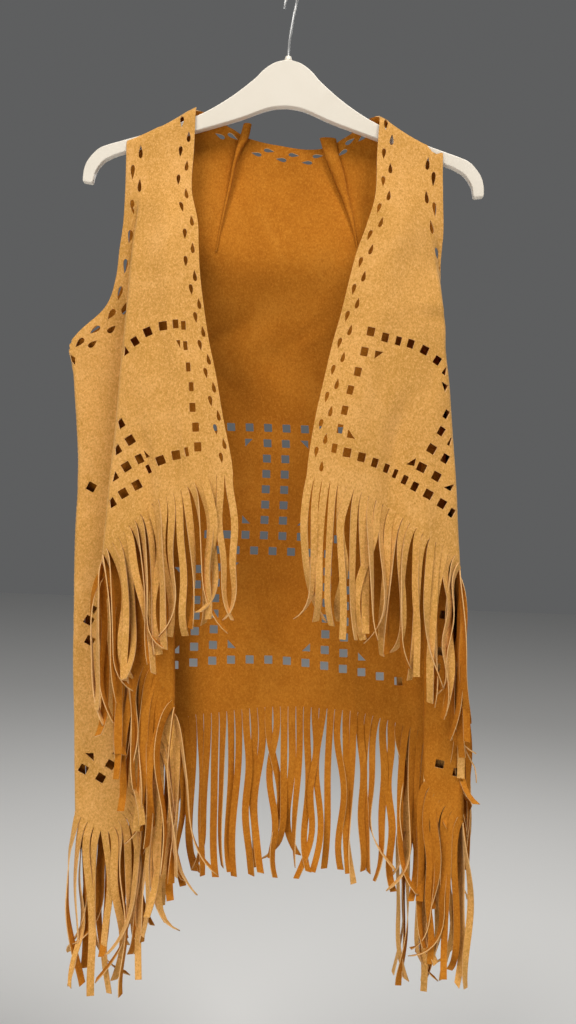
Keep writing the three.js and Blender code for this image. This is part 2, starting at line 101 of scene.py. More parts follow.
FRONT_LEFT_ROWS = [
    (-130, 100, -8, 166, -9, 4, 162, -5, 0, 169, -8, 0),
    (-180, 98, -12, 166, -11, 4, 162, -5, 0, 168, -9, 0),
    (-226, 97, -23, 168, -13, 4, 164, -5, 0, 169.5, -10, 0),
    (-262, 88, -31, 171, -15, 6, 167, -5, 0, 171, -10, 0.1),
    (-290, 79, -34, 173.5, -17, 10, 169, -4, 0, 170, -6, 0.4),
    (-321, 72, -38, 174, -20, 22, 172, 3, 0, 171, 4, 0.8),
    (-355, 65, -41, 174.5, -23, 41, 161, 20, 4, 164, 15.5, 1),
    (-388, 57, -43, 176.5, -26, 49, 163, 24, 6, 167, 17, 1),
    (-424, 50, -46, 181.5, -27, 55, 157, 29, 7, 172, 20, 1),
    (-467, 42, -49, 186, -28, 57, 150, 30, 7, 180, 21, 1),
    (-521, 36, -50, 191.5, -28, 58, 142, 31, 7, 184, 21, 1),
    (-592, 36, -50, 198, -28, 58, 137, 31, 7, 186, 21, 1),
    (-692, 36, -50, 209, -28, 58, 142, 31, 7, 189, 21, 1),
    (-790, 36, -50, 220, -28, 58, 148, 31, 7, 201, 21, 1),
    (-910, 36, -50, 227, -28, 58, 156, 31, 7, 207, 21, 1),
]
BACK_COLUMNS = ("z", "quarter_y", "centre_y", "tuck_x", "tuck_y", "turn_x", "turn_y", "gap",
                "strip_x", "strip_y", "open")
BACK_ROWS = [
    (-130, 9, 12, 160, 9, 150, 4, 4, 168, 8, 0),
    (-180, 11, 14, 160, 9, 150, 4, 4, 167, 9, 0),
    (-226, 13, 16, 160, 10, 150, 4, 4, 165, 9, 0),
    (-262, 14, 17, 160, 10, 151, 4, 4, 164, 9, 0),
    (-290, 14, 18, 160, 10, 152, 4, 5, 163, 8, 0.1),
    (-320, 15, 18, 160, 11, 152, 5, 6, 163, 6, 0.4),
    (-351, 15, 19, 158, 11, 152, 6, 7, 165, -1, 0.8),
    (-388, 15, 20, 163, 12, 154, 6, 7, 173, -3, 1),
    (-424, 16, 20, 168, 12, 154, 6, 7, 179, -4, 1),
    (-467, 16, 21, 174, 12, 156, 5, 7, 182, -4, 1),
    (-521, 17, 22, 178, 12, 160, 5, 7, 186, -4, 1),
    (-592, 17, 22, 181, 12, 165, 5, 7, 190, -4, 1),
    (-692, 18, 23, 190, 12, 169, 5, 7, 201, -4, 1),
    (-790, 18, 23, 197, 12, 173, 5, 7, 213, -4, 1),
    (-910, 18, 24, 203, 12, 177, 5, 7, 219, -4, 1),
]
BACK_ARMHOLE_COLUMNS = ("z", "left_x", "left_y", "right_x", "right_y")
BACK_ARMHOLE_ROWS = [
    (-130, -168, 8, 168, 8), (-180, -167, 9, 167, 9), (-226, -165, 10, 165, 9),
    (-262, -164, 10, 164, 9), (-290, -165, 10, 163, 8), (-320, -169, 10, 163, 8),
    (-351, -181, 9, 162, 7), (-375, -207.5, 5.5, 167.5, 12), (-388, -220.8, 3.5, 167, 17),
]
# How high each hem is, along the cloth from the opening edge (or from the back's first side).
FRONT_RIGHT_HEM = [(0, -527), (30, -528), (47, -540), (76, -553), (94, -567), (129, -603), (140, -616),
                   (275, -836), (316, -908), (352, -894), (376, -886)]
FRONT_LEFT_HEM = [(0, -523), (15, -527), (43, -534), (71, -545), (103, -564), (131, -584), (162, -604),
                  (327, -905), (345, -898), (380, -890)]
BACK_HEM = [(0, -886), (60, -834), (100, -792), (142, -782), (210, -773), (287, -774), (330, -784),
            (378, -798), (406, -816), (432, -852), (475, -890), (505, -900)]
# How far the back swells towards the front at each height.
BACK_SWELL = [(-170, 0), (-205, 1), (-250, 10), (-292, 16), (-330, 9), (-400, -4), (-460, -9), (-520, -9),
              (-580, -7), (-650, -3), (-720, 3), (-800, 9)]
FRONT_BELLY = 7.0      # how far the fronts belly forward
# Each dart of the back: the ridge's two sides as seen, and how far it stands from the cloth.
DART_COLUMNS = ("z", "left", "right", "stand")
DART_RIGHT_ROWS = [(-144, -46, -37, 9), (-160, -50, -40.5, 9.5), (-170, -52.6, -46, 10),
                   (-182, -55, -50.6, 10), (-207, -58.6, -55, 8.5), (-235, -63, -60, 6),
                   (-262, -67, -64.8, 3.5), (-286, -69.6, -68.2, 1.3)]
DART_LEFT_ROWS = [(-156, 37, 55, 9), (-175, 43.5, 59.5, 9), (-197, 53, 66, 8), (-220, 63, 71, 6.5),
                  (-245, 72, 76.8, 4.5), (-265, 78, 80.4, 2.8), (-279, 81, 82.4, 1.3)]
DART_PLEAT = 8.0       # how deep the cloth falls back into a dart at the neck
# Soft creases: where along the cloth, how wide, how deep (out to the wearer's front) and below what height.
CREASES = {
    "front_right": [(44, 7, 3, -430), (88, 6, -5, -460), (30, 16, 4, -220)],
    "front_left": [(88, 12, -6, -420), (40, 18, 4, -230), (125, 10, 3, -380)],
    "back": [(150, 30, -3, -300), (270, 26, 3, -420)],
}
# Wrinkles: how close they come along the cloth and down it, two seeds, and the most they stand out.
WRINKLES = [(0.016, 0.011, 7.0, 3, 3.2), (0.05, 0.022, 3.0, -5, 0.9)]


# ---------- small helpers ----------
def clamp(value, low, high):
    return min(high, max(low, value))


def smooth(value, start, end):
    t = clamp((value - start) / (end - start), 0.0, 1.0)
    return t * t * (3 - 2 * t)


def reading(rows, column, at):
    """Smooth interpolation of one column of a table whose first column is the position."""
    falling = -1 if rows[0][0] > rows[-1][0] else 1
    i = next((k for k, row in enumerate(rows) if row[0] * falling > at * falling), len(rows)) - 1
    i = int(clamp(i, 0, len(rows) - 2))
    before, low, high, after = (rows[int(clamp(k, 0, len(rows) - 1))] for k in (i - 1, i, i + 1, i + 2))
    step = high[0] - low[0]
    t = clamp((at - low[0]) / step, 0.0, 1.0)
    slope_low = (high[column] - before[column]) / (high[0] - before[0])
    slope_high = (after[column] - low[column]) / (after[0] - low[0])
    return ((2 * t ** 3 - 3 * t ** 2 + 1) * low[column] + (t ** 3 - 2 * t ** 2 + t) * slope_low * step
            + (3 * t ** 2 - 2 * t ** 3) * high[column] + (t ** 3 - t ** 2) * slope_high * step)


def section(columns, rows, z):
    """A whole row of a table at any height, by the names of its columns."""
    return {name: reading(rows, k, z) for k, name in enumerate(columns)}


def distances(points):
    """The distance along a line at each of its points."""
    return np.concatenate([[0.0], np.cumsum(np.hypot(*np.diff(points, axis=0).T))])


def flattened(points, slack=1.0):
    """The corners laid on a straight line; slack draws the ones after the first stretch together."""
    lengths = [0.0] + [max((b - a).length, LEAST_STEP) for a, b in zip(points, points[1:])]
    lengths[2:] = [length * slack for length in lengths[2:]]
    total = sum(lengths)
    run = 0.0
    laid = []
    for length in lengths:
        run += length
        laid.append(points[0].lerp(points[-1], run / total))
    return laid


def opened(points, amount, slack=1.0):
    """A folded plan, from laid flat at 0 to fully folded at 1."""
    return [flat.lerp(point, amount) for flat, point in zip(flattened(points, slack), points)]


def spot(row, name, dx=0.0, dy=0.0):
    """A corner that a row of a table names, moved by dx and dy."""
    return Vector((row[name + "_x"] + dx, row[name + "_y"] + dy))


def corners_front_right(z):
    row = section(FRONT_RIGHT_COLUMNS, FRONT_RIGHT_ROWS, z)
    tuck_y = row["turn_y"] + row["gap"] + 13 * smooth(z, -300, -388)
    points = opened([spot(row, "edge"), spot(row, "fold"), spot(row, "fold", dy=row["gap"]),
                     spot(row, "turn"), spot(row, "turn", dy=row["gap"]),
                     Vector((row["fold_x"], tuck_y)), spot(row, "side")], row["open"], 0.4)
    around = max(row["wrap"], 0.6)
    inwards = 0.2 + around * smooth(z, -396, -436)
    return points + [spot(row, "side", 0.1, around), spot(row, "side", inwards, around + 0.5)]


def corners_front_left(z):
    row = section(FRONT_LEFT_COLUMNS, FRONT_LEFT_ROWS, z)
    return opened([spot(row, "edge"), spot(row, "fold"), spot(row, "fold", dy=row["wrap"]),
                   spot(row, "turn"), spot(row, "turn", dy=-row["gap"]), spot(row, "side")], row["open"])


def ends_of_back(z):
    """The back ends at the armholes, and below them where the fronts end."""
    if z > UNDERARM_Z:
        row = section(BACK_ARMHOLE_COLUMNS, BACK_ARMHOLE_ROWS, z)
        return spot(row, "left"), spot(row, "right")
    return corners_front_right(z)[-1], corners_front_left(z)[-1]


def corners_back(z):
    row = section(BACK_COLUMNS, BACK_ROWS, z)
    start, end = ends_of_back(z)
    folded = [Vector((100, row["quarter_y"])), spot(row, "tuck"), spot(row, "tuck", dy=-row["gap"]),
              spot(row, "turn"), spot(row, "turn", dy=-row["gap"]), spot(row, "strip"),
              Vector((row["strip_x"], end.y)), end]
    middle = [start, Vector((-100, row["quarter_y"])), Vector((3, row["centre_y"]))]
    return middle + opened(folded, row["open"])


def rounded(corners):
    """The corners of a plan, rounded into short arcs: x, y and the distance along it."""
    line = [corners[0]]
    for before, corner, after in zip(corners, corners[1:], corners[2:]):
        back, on = before - corner, after - corner
        angle = abs(back.angle(on, math.pi))
        room = 0.45 * min(back.length, on.length)
        tangent = min(room, max(CORNER_RADIUS / max(math.tan(angle / 2), 0.05), 1.0))
        start, end = corner + back.normalized() * tangent, corner + on.normalized() * tangent
        for k in range(ARC_POINTS):
            t = k / (ARC_POINTS - 1)
            line.append(start * (1 - t) ** 2 + corner * (2 * t * (1 - t)) + end * t ** 2)
    line.append(corners[-1])
    points = np.array([(p.x, p.y) for p in line])
    steps = np.hypot(*np.diff(points, axis=0).T)
    points = points[np.concatenate([[True], steps > 1e-6])]
    return points[:, 0], points[:, 1], distances(points)


def shoulder_height(x):
    """The fold of the cloth over the hanger's arm, which it follows."""
    inwards = SHOULDER_TIP - abs(x)
    eased = 0.35 * max(0.0, inwards - 64) if inwards < 72 else 2.8
    return SHOULDER_Z + 0.36 * inwards + 0.0028 * inwards * inwards - eased


def fold_end(x):
    return ARMHOLE_TOP_LEFT if x > 0 else ARMHOLE_TOP_RIGHT


def top_height(x):
    """The upper edge of the vest: the shoulder folds, and the neck line of the back between them."""
    if abs(x) >= NECK_POINT:
        past = max(0.0, (abs(x) - fold_end(x)) / (SHOULDER_TIP - fold_end(x)))
        dent = 0.0
        if x > ARMHOLE_TOP_LEFT:
            dent = LEFT_DENT["depth"] * math.exp(-((x - LEFT_DENT["x"]) / LEFT_DENT["width"]) ** 2)
        return shoulder_height(x) - ARMHOLE_DIP * past ** 0.5 - dent
    rise = shoulder_height(NECK_POINT) - NECK_DROP_Z
    out = min(1.0, abs(x) / NECK_ROLL)
    return NECK_DROP_Z + rise * out ** 2.3 - NECK_SAG * x * (1 - out * out)


def turning(xs):
    """Where a plan reaches the side or first doubles back: the end of its visible run."""
    rising = 1 if xs[min(3, len(xs) - 1)] > xs[0] else -1
    last = next((k for k in range(1, len(xs)) if (xs[k] - xs[k - 1]) * rising < -1e-6), len(xs)) - 1
    return next(k for k in range(1, last + 1) if abs(xs[k] - xs[last]) < 0.6)


class Drape:
    """A panel as it hangs: any point of it from its distance along the cloth and its height."""

    def __init__(self, name, corners, hem, face):
        self.name = name
        self.face = face
        self.hem_rows = hem
        self.levels = np.arange(LEVELS_FROM, LEVELS_TO, -LEVEL_STEP)
        self.lines = [rounded(corners(z)) for z in self.levels]
        self.turns = [us[turning(xs)] for xs, _, us in self.lines]
        self.ends = [us[-1] for _, _, us in self.lines]

    def level(self, z):
        """The level above a height, and how far on it is to the next."""
        place = clamp((self.levels[0] - z) / LEVEL_STEP, 0, len(self.levels) - 1.001)
        return int(place), place - int(place)

    def plan(self, u, z):
        """Where a point of the cloth lies, seen from above."""
        i, t = self.level(z)
        run, end = self.run(z), self.length(z)
        points = []
        for k in (i, i + 1):
            xs, ys, us = self.lines[k]
            if u < run:
                along = u * self.turns[k] / run
            else:
                along = self.turns[k] + (u - run) / (end - run + 1e-9) * (self.ends[k] - self.turns[k])
            points.append((np.interp(along, us, xs), np.interp(along, us, ys)))
        (xa, ya), (xb, yb) = points
        return xa + (xb - xa) * t, ya + (yb - ya) * t

    def length(self, z):
        """How long the plan is at a height."""
        i, t = self.level(z)
        return self.ends[i] * (1 - t) + self.ends[i + 1] * t

    def run(self, z):
        """Where the visible run of the plan ends."""
        i, t = self.level(z)
        return self.turns[i] * (1 - t) + self.turns[i + 1] * t

    def hem(self, u):
        return reading(self.hem_rows, 1, u)

    def top(self, u):
        """Height of the upper edge; the plan itself changes with height, so it is found by steps."""
        z = -150.0
        for _ in range(12):
            z = top_height(self.plan(u, z)[0])
        return z

    def at_x(self, x, z):
        """Distance along the cloth where its first, visible run passes a given x."""
        i, t = self.level(z)
        found = []
        for k in (i, i + 1):
            xs, _, us = self.lines[k]
            turn = int(np.searchsorted(us, self.turns[k])) + 1
            order = slice(None) if xs[turn - 1] > xs[0] else slice(None, None, -1)
            found.append(np.interp(x, xs[:turn][order], us[:turn][order]) / self.turns[k])
        return (found[0] * (1 - t) + found[1] * t) * self.run(z)

    def point(self, u, z):
        x, y = self.plan(u, z)
        if z > SHOULDER_Z - 2 * DRAPE_DEPTH:
            drop = clamp((shoulder_height(x) - z) / DRAPE_DEPTH, 0.0, 1.0)
            y = self.face * abs(y) * math.sqrt(max(0.0, 1 - (1 - drop) ** 2))
        for along, width, depth, top in CREASES[self.name]:
            y -= depth * math.exp(-(((u - along) / width) ** 2)) * smooth(z, top, top - 60)
        y += self.wrinkle(u, z)
        y += self.pleated(x, z) - self.swell(u, x, z)
        return Vector((x, y, z))

    def swell(self, u, x, z):
        """The fronts belly forward between their edges, and the back swells and falls away by turns."""
        if self.name == "back":
            return reading(BACK_SWELL, 1, z) * smooth(abs(x), 140, 70)
        run = self.run(z)
        if u > run:
            return 0.0
        return FRONT_BELLY * math.sin(math.pi * u / run) * smooth(z, -190, -300)

    def pleated(self, x, z):
        """How deep the back falls into its two darts, between them and the middle of the neck."""
        if self.name != "back":
            return 0.0
        depth = 0.0
        for rows in (DART_RIGHT_ROWS, DART_LEFT_ROWS):
            tip = rows[-1]
            up = clamp((z - tip[0]) / (rows[0][0] - tip[0]), 0.0, 1.0)
            side = 1 if tip[1] > 0 else -1
            middle = (reading(rows, 1, z) + reading(rows, 2, z)) / 2
            inwards = (middle - x) * side
            reach = 50 * up + 1 if inwards > 0 else 14 * up + 1
            depth += DART_PLEAT * up * max(0.0, 1 - abs(inwards) / reach)
        return depth

    def wrinkle(self, u, z):
        """The slight unevenness of hanging cloth."""
        calm = smooth(z, -185, -260)
        depth = 0.0
        for along, down, seed, other, most in WRINKLES:
            depth += noise.noise(Vector((u * along, z * down, seed + self.face * other))) * most
        return depth * calm


DRAPES = {
    "front_right": Drape("front_right", corners_front_right, FRONT_RIGHT_HEM, -1),
    "front_left": Drape("front_left", corners_front_left, FRONT_LEFT_HEM, -1),
    "back": Drape("back", corners_back, BACK_HEM, 1),
}


# ---------- the cut shapes ----------
DROP_POINTS = 16
CORNER_NIP = 0.5       # how much a square's corners are nipped off
FOLD_CLEAR = 2.6       # nearest that a cut comes to the fold at the end of a panel's visible run


def teardrop(length, width):
    """A drop with its point up, round its own centre."""
    outline = []
    for k in range(DROP_POINTS):
        t = 2 * math.pi * k / DROP_POINTS
        swell = math.sin(t) * abs(math.sin(t / 2)) ** 1.3
        outline.append((-0.61 * width * swell, length / 2 * math.cos(t)))
    return outline


def square(side=9.4, width=None):
    """A square hole with its corners just nipped off, narrower where the cloth turns away."""
    nip, up, out = CORNER_NIP, side / 2, (width or side) / 2
    return [(out - nip, -up), (out, -up + nip), (out, up - nip), (out - nip, up),
            (-out + nip, up), (-out, up - nip), (-out, -up + nip), (-out + nip, -up)]


def triangle(side, corner, width=None):
    """Half a square; corner says which of its corners is left."""
    half, out = side / 2, (width or side) / 2
    sx, sy = corner
    return [(-out * sx, half * sy), (out * sx, half * sy), (out * sx, -half * sy)]


def placed(outline, u, z, angle=0.0):
    c, s = math.cos(angle), math.sin(angle)
    return [(u + a * c - b * s, z + a * s + b * c) for a, b in outline]


def seen(drape, outline, x, z, turn=0.0):
    """A cut in the visible run of a panel, by its look from the front; turn is in degrees."""
    look = placed(outline, x, z, math.radians(turn))
    return [(min(drape.at_x(across, up), drape.run(up) - FOLD_CLEAR), up) for across, up in look]


def on_strip(place, outline, x, z, turn=0.0):
    """A cut in a side strip, by its look from the front; place gives the distance along the cloth."""
    return [(place(across, up), up) for across, up in placed(outline, x, z, math.radians(turn))]


# ---------- where the cloth is cut through ----------
def armhole_line(drape):
    """The armhole as a line on the flat cloth, from the shoulder down to the underarm."""
    line = []
    z = drape.top(drape.length(-180))
    while z > UNDERARM_Z:
        line.append((drape.length(z), z))
        z -= 4.0
    return line


def drops_beside(line, places, offset, turned, length, width):
    """Drops set at places along a line, all to one side of it, pointing along it."""
    points = np.array(line)
    along = distances(points)

    def at(place):
        return [float(np.interp(place, along, points[:, k])) for k in (0, 1)]

    cut = []
    for place in places:
        if place >= along[-1]:
            break
        (u, z), ahead, behind = at(place), at(place + 3), at(place - 3)
        du, dz = ahead[0] - behind[0], ahead[1] - behind[1]
        size = math.hypot(du, dz)
        du, dz = du / size, dz / size
        angle = math.atan2(dz, du) - math.pi / 2 + (math.pi if turned else 0)
        cut.append(placed(teardrop(length, width), u + dz * offset, z - du * offset, angle))
    return cut


def squares(drape, rows):
    """Squares, each given by the x and z of its centre, its width as seen and its turn."""
    return [seen(drape, square(width=width), x, z, turn) for x, z, width, turn in rows]


# The squares of each front, as seen: x, z, width, turn in degrees.
SQUARES_RIGHT = [
    (-96, -375, 4.6, 6), (-104, -374, 5.8, 6), (-117, -376, 8.8, 8), (-133, -382, 8.4, 24),
    (-146, -392, 7.4, 32), (-157, -402, 7.0, 36),
    (-93, -396, 4.2, 8), (-89, -418, 4.4, 6), (-85, -438, 4.6, 4), (-83, -459, 6.0, 4), (-79, -479, 6.8, 5),
    (-76, -499, 7.2, 5), (-87, -504.5, 3.8, 12), (-98, -508, 9.0, 12), (-114, -514, 9.2, 22),
    (-126.5, -523, 4.6, 28), (-138, -540, 9.0, 30), (-152, -549, 9.4, 32), (-164, -559, 8.0, 34),
    (-158, -477, 7.8, 33), (-147, -494, 9.4, 33), (-136.5, -513, 7.2, 28), (-161, -504, 8.6, 33),
    (-150, -521.5, 9.4, 33)]
SQUARES_LEFT = [
    (96, -374, 7.8, -9), (111, -379, 7.4, -9), (125, -381.5, 6.0, -12), (138, -383.5, 7.0, -14),
    (153, -389, 8.2, -22), (167, -398.5, 7.2, -30), (176.5, -409, 5.0, -34),
    (90, -395, 7.4, -10), (84, -416, 7.0, -10), (77, -435, 6.4, -12), (72, -456, 6.4, -10),
    (68, -475, 5.8, -8), (63, -495, 5.4, -8), (76, -499, 8.0, -8), (91, -503, 8.0, -10),
    (105, -508, 6.6, -14),
    (117.5, -513, 5.8, -16), (127, -518, 4.4, -20), (137, -524, 5.4, -22), (147.5, -530.5, 6.6, -24),
    (162, -538, 9.2, -26), (177, -547, 8.6, -28), (188, -556, 6.0, -30),
    (178.5, -454, 5.6, -28), (173.5, -472, 7.0, -28), (164, -491, 9.2, -28), (154, -510.5, 9.2, -24),
    (184, -482, 3.6, -28), (179, -500, 7.6, -28), (170, -519, 9.0, -26)]
# The half squares: x, z, the corner that is square, turn in degrees, width.
HALF_SQUARE = 8.6
HALVES_RIGHT = [(-100.2, -395, (1, 1), 6, 4), (-129, -507, (-1, -1), 20, 4.5),
                (-163, -532, (1, -1), 33, 8.6)]
HALVES_LEFT = [(105, -398, (-1, 1), -6, 8.6), (80, -480, (-1, -1), -8, 8.6),
               (143, -504.5, (1, -1), -10, 8.6), (174, -426, (1, 1), -24, 8.6),
               (184, -528, (1, -1), -26, 8.6)]


def halves(drape, rows):
    return [seen(drape, triangle(HALF_SQUARE, corner, width), x, z, turn)
            for x, z, corner, turn, width in rows]


def edge_drops(first, pitch, narrowing, rows, width, closing=0.0):
    """The staggered rows of drops down an opening edge, by steps that get shorter.

    A row gives its distance from the edge, how many steps it starts ahead and whether it points down;
    closing brings the rows nearer to the edge further down."""
    cut = []
    for k in range(13):
        for offset, ahead, point_down in rows:
            n = k + ahead
            eased = n * n if n < 6.5 else 6.5 * (2 * n - 6.5)
            z = first - pitch * n + narrowing * eased
            beside = offset * (1 - closing * smooth(z, -300, -350))
            cut.append(placed(teardrop(12.2 - 0.08 * n, width), beside, z, math.pi if point_down else 0.0))
    return cut


# Places of the drops along the right armhole, from the shoulder: the row by the edge and the one beside it.
ARMHOLE_NEAR_RIGHT = (34.5, 68, 105, 143, 174.5, 199, 229, 257.5)
ARMHOLE_FAR_RIGHT = (12, 47, 80, 114, 150, 185.5, 212.5, 245)
# The side strip: squares (x, z), half squares (x, z, turn) and the heights of those at its very outline.
STRIP_SQUARES_RIGHT = [(-187.7, -543), (-185, -686), (-183, -707.5), (-147.4, -824.5), (-155.3, -838.5),
                       (-165.5, -853.5), (-184.5, -845.5)]
STRIP_HALVES_RIGHT = [(-182.5, -674, -27), (-141, -808, -50), (-178.3, -832.3, 5)]
OUTLINE_SQUARES_RIGHT = (-407, -532, -671, -696, -830)


def cuts_front_right():
    drape = DRAPES["front_right"]
    rows = ((14.0, 0.04, True), (6.2, 0.52, False))
    cut = edge_drops(first=-151, pitch=32.6, narrowing=0.30, rows=rows, width=4.8, closing=0.28)
    hole = armhole_line(drape)
    cut += drops_beside(hole, ARMHOLE_NEAR_RIGHT, offset=8.5, turned=False, length=17.0, width=5.2)
    cut += drops_beside(hole, ARMHOLE_FAR_RIGHT, offset=16.5, turned=True, length=15.0, width=5.0)
    cut += squares(drape, SQUARES_RIGHT) + halves(drape, HALVES_RIGHT)
    for x, z in STRIP_SQUARES_RIGHT:
        cut.append(on_strip(strip_place_right, square(9.2), x, z, -27))
    for x, z, turn in STRIP_HALVES_RIGHT:
        cut.append(on_strip(strip_place_right, triangle(9.0, (1, 1)), x, z, turn))
    for z in OUTLINE_SQUARES_RIGHT:
        cut.append(placed(square(8.6), outline_place_right(z), z, 0.5))
    return cut


def outline_place_right(z):
    """Distance along the cloth of the outer turn of the side strip."""
    return DRAPES["front_right"].length(z) - 1.0 - section(FRONT_RIGHT_COLUMNS, FRONT_RIGHT_ROWS, z)["wrap"]


def strip_place_right(x, z):
    side_x = section(FRONT_RIGHT_COLUMNS, FRONT_RIGHT_ROWS, z)["side_x"]
    return outline_place_right(z) - (x - side_x) * 1.02


# The first drops beside the left armhole, as seen: x, z, turn in degrees (180 is point down), length.
ARMHOLE_DROPS_LEFT = [(152, -187, -4, 14.5), (158.5, -204, 178, 17), (151.5, -224, 6, 15),
                      (160.5, -237, 186, 16.5), (157.5, -256, 12, 15), (165, -283, 190, 14)]


def cuts_front_left():
    drape = DRAPES["front_left"]
    rows = ((7.0, 0, True), (14.4, 0.5, False))
    cut = edge_drops(first=-147, pitch=32.5, narrowing=0.33, rows=rows, width=5.0)
    places = range(138, 400, 34)
    cut += drops_beside(armhole_line(drape), places, offset=8.0, turned=True, length=17.0, width=5.2)
    for x, z, turn, size in ARMHOLE_DROPS_LEFT:
        cut.append(seen(drape, teardrop(size, 5.2), x, z, turn))
    return cut + squares(drape, SQUARES_LEFT) + halves(drape, HALVES_LEFT)


def strip_place_left(x, z):
    row = section(BACK_COLUMNS, BACK_ROWS, z)
    end = ends_of_back(z)[1]
    to_end = abs(end.y - row["strip_y"]) + abs(end.x - row["strip_x"]) - 6
    return DRAPES["back"].length(z) - to_end - (row["strip_x"] - x) * 1.03


# The drops round the back of the neck: x, and whether the drop points to the wearer's left.
NECK_DROPS = [(-86, True), (-71, False), (-57, True), (-31, False), (-17, True), (-4, False),
              (10, True), (24, False), (36, True), (62, False), (70, True), (83, False)]
STRIP_SQUARES_LEFT = [(187, -665), (191, -685), (186, -704), (181, -721), (189, -824), (207, -832)]
# The back's lattice: its first mark, its steps across and down, and the size of its squares.
LATTICE = {"x": 3, "z": -470, "across": 20.3, "down": 16.9, "size": 8.7}
# Half squares on both sides of its middle: steps across, the rows above and below, and which way they face.
LATTICE_HALVES = [(1.5, 1, 6, 1), (2, 9, 14, 1), (5, 9, 14, -1)]


def neck_drops(drape):
    cut = []
    for x, points_left in NECK_DROPS:
        slope = math.degrees(math.atan2(top_height(x + 6) - top_height(x - 6), 12))
        z = top_height(x) - (7.5 if points_left else 14.5)
        turn = slope - 90 if points_left else slope + 90
        cut.append(seen(drape, teardrop(12.0, 5.0), x, z, turn))
    return cut


def lattice_marks():
    """The squares as steps across and down: a cross bar, a ladder, two rows, and two legs on a long bar."""
    marks = [(n + 0.5, 0) for n in range(-4, 4)]
    marks += [(side, k) for k in range(1, 7) for side in (-0.5, 0.5)]
    marks += [(n + 0.5, 7) for n in range(-4, 4)] + [(n, 8) for n in range(-3, 4)]
    marks += [(side * n, 9 + k) for k in range(6) for n in (3, 4) for side in (-1, 1)]
    return marks + [(n, 15) for n in range(-6, 8)]


def lattice_cut(drape, n, k, outline):
    """One cut of the lattice, n steps across and k steps down; its rows sag a little outwards."""
    x = LATTICE["x"] + LATTICE["across"] * n
    sag = 0.35 if k > 8 else 0.1
    z = LATTICE["z"] - LATTICE["down"] * k - sag * n * n
    return placed(outline, drape.at_x(x, z), z)


def cuts_back():
    drape = DRAPES["back"]
    cut = neck_drops(drape)
    left_hole = armhole_line(drape)
    right_hole = [(0.0, z) for _, z in left_hole]
    near, far = range(29, 400, 34), range(13, 400, 34)
    for hole, side in ((left_hole, 1), (right_hole, -1)):
        cut += drops_beside(hole, near, offset=8.5 * side, turned=side > 0, length=15, width=5)
        cut += drops_beside(hole, far, offset=16.5 * side, turned=side < 0, length=15, width=5)
    for n, k in lattice_marks():
        cut.append(lattice_cut(drape, n, k, square(LATTICE["size"])))
    for n, above, below, facing in LATTICE_HALVES:
        for k, up in ((above, 1), (below, -1)):
            for side in (-1, 1):
                half = triangle(LATTICE["size"], (side * facing, up))
                cut.append(lattice_cut(drape, side * n, k, half))
    for x, z in STRIP_SQUARES_LEFT:
        cut.append(on_strip(strip_place_left, square(8.7), x, z, -8))
    return cut


# ---------- the cloth's mesh ----------
def inside(polygon, u, z):
    hit = False
    for (ua, za), (ub, zb) in zip(polygon, polygon[1:] + polygon[:1]):
        if (za > z) != (zb > z) and u < (ub - ua) * (z - za) / (zb - za) + ua:
            hit = not hit
    return hit


def shoulder_arc(h):
    """Length of cloth from the shoulder fold down to a depth h."""
    if h < DRAPE_DEPTH:
        return DRAPE_DEPTH * math.acos(1 - max(h, 0.0) / DRAPE_DEPTH)
    return DRAPE_DEPTH * (math.pi / 2 - 1) + h


def shoulder_depth(arc):
    """The depth that a length of cloth reaches from the shoulder fold."""
    if arc < DRAPE_DEPTH * math.pi / 2:
        return DRAPE_DEPTH * (1 - math.cos(arc / DRAPE_DEPTH))
    return arc - DRAPE_DEPTH * (math.pi / 2 - 1)


def evened(drape, u, z):
    """The flat place used for cutting the cloth into facets: level and evenly spaced at the shoulder."""
    plain_below, even_above = -300, -190
    if z < plain_below:
        return Vector((u, z))
    depth = max(top_height(drape.plan(u, z)[0]) - z, 0.0)
    return Vector((u, z + smooth(z, plain_below, even_above) * (SHOULDER_Z - shoulder_arc(depth) - z)))


def hem_join(drape):
    """Height at which a front's last column meets its hem."""
    z = LOWEST_HEM
    for _ in range(20):
        z = drape.hem(drape.length(z))
    return z


def last_height(drape):
    """Height of the hem where a panel ends at the side; the back ends where the left front does."""
    return hem_join(DRAPES["front_left"] if drape.name == "back" else drape)


def settle_hems():
    """Brings the back's hem to the fronts' hems where they meet at the sides."""
    back = DRAPES["back"]
    right, left = hem_join(DRAPES["front_right"]), hem_join(DRAPES["front_left"])
    end = back.length(left)
    plain = back.hem

    def hem(u):
        near_right = (right - plain(0)) * (1 - smooth(u, 0, 40))
        near_left = (left - plain(end)) * smooth(u, end - 40, end)
        return plain(u) + near_right + near_left

    back.hem = hem


def side_levels(top, low):
    """Heights for the points of a side edge, with one at the underarm."""
    upper = int((top - UNDERARM_Z) / EDGE_STEP)
    lower = int((UNDERARM_Z - low) / CLOTH_GRID)
    return ([top + (UNDERARM_Z - top) * k / upper for k in range(1, upper)]
            + [UNDERARM_Z + (low - UNDERARM_Z) * k / lower for k in range(lower)])


def top_edge(drape):
    """The points along a shoulder fold; on the back, along the neck line too."""
    if drape.name == "back":
        xs = [*np.arange(-166.0, -96.0, EDGE_STEP), *np.arange(-93.0, 96.0, 4.0),
              *np.arange(96.0, 167.0, EDGE_STEP)]
    else:
        side = 1 if drape.name == "front_left" else -1
        xs = side * np.arange(101.0, 167.0, EDGE_STEP)
    points = []
    for x in xs:
        z = top_height(x)
        u = drape.at_x(x, z)
        if 2.0 < u < drape.length(z) - 2.0:
            points.append((u, z, NECK_POINT - 1.1 <= abs(x) <= fold_end(x) + 0.5))
    return points


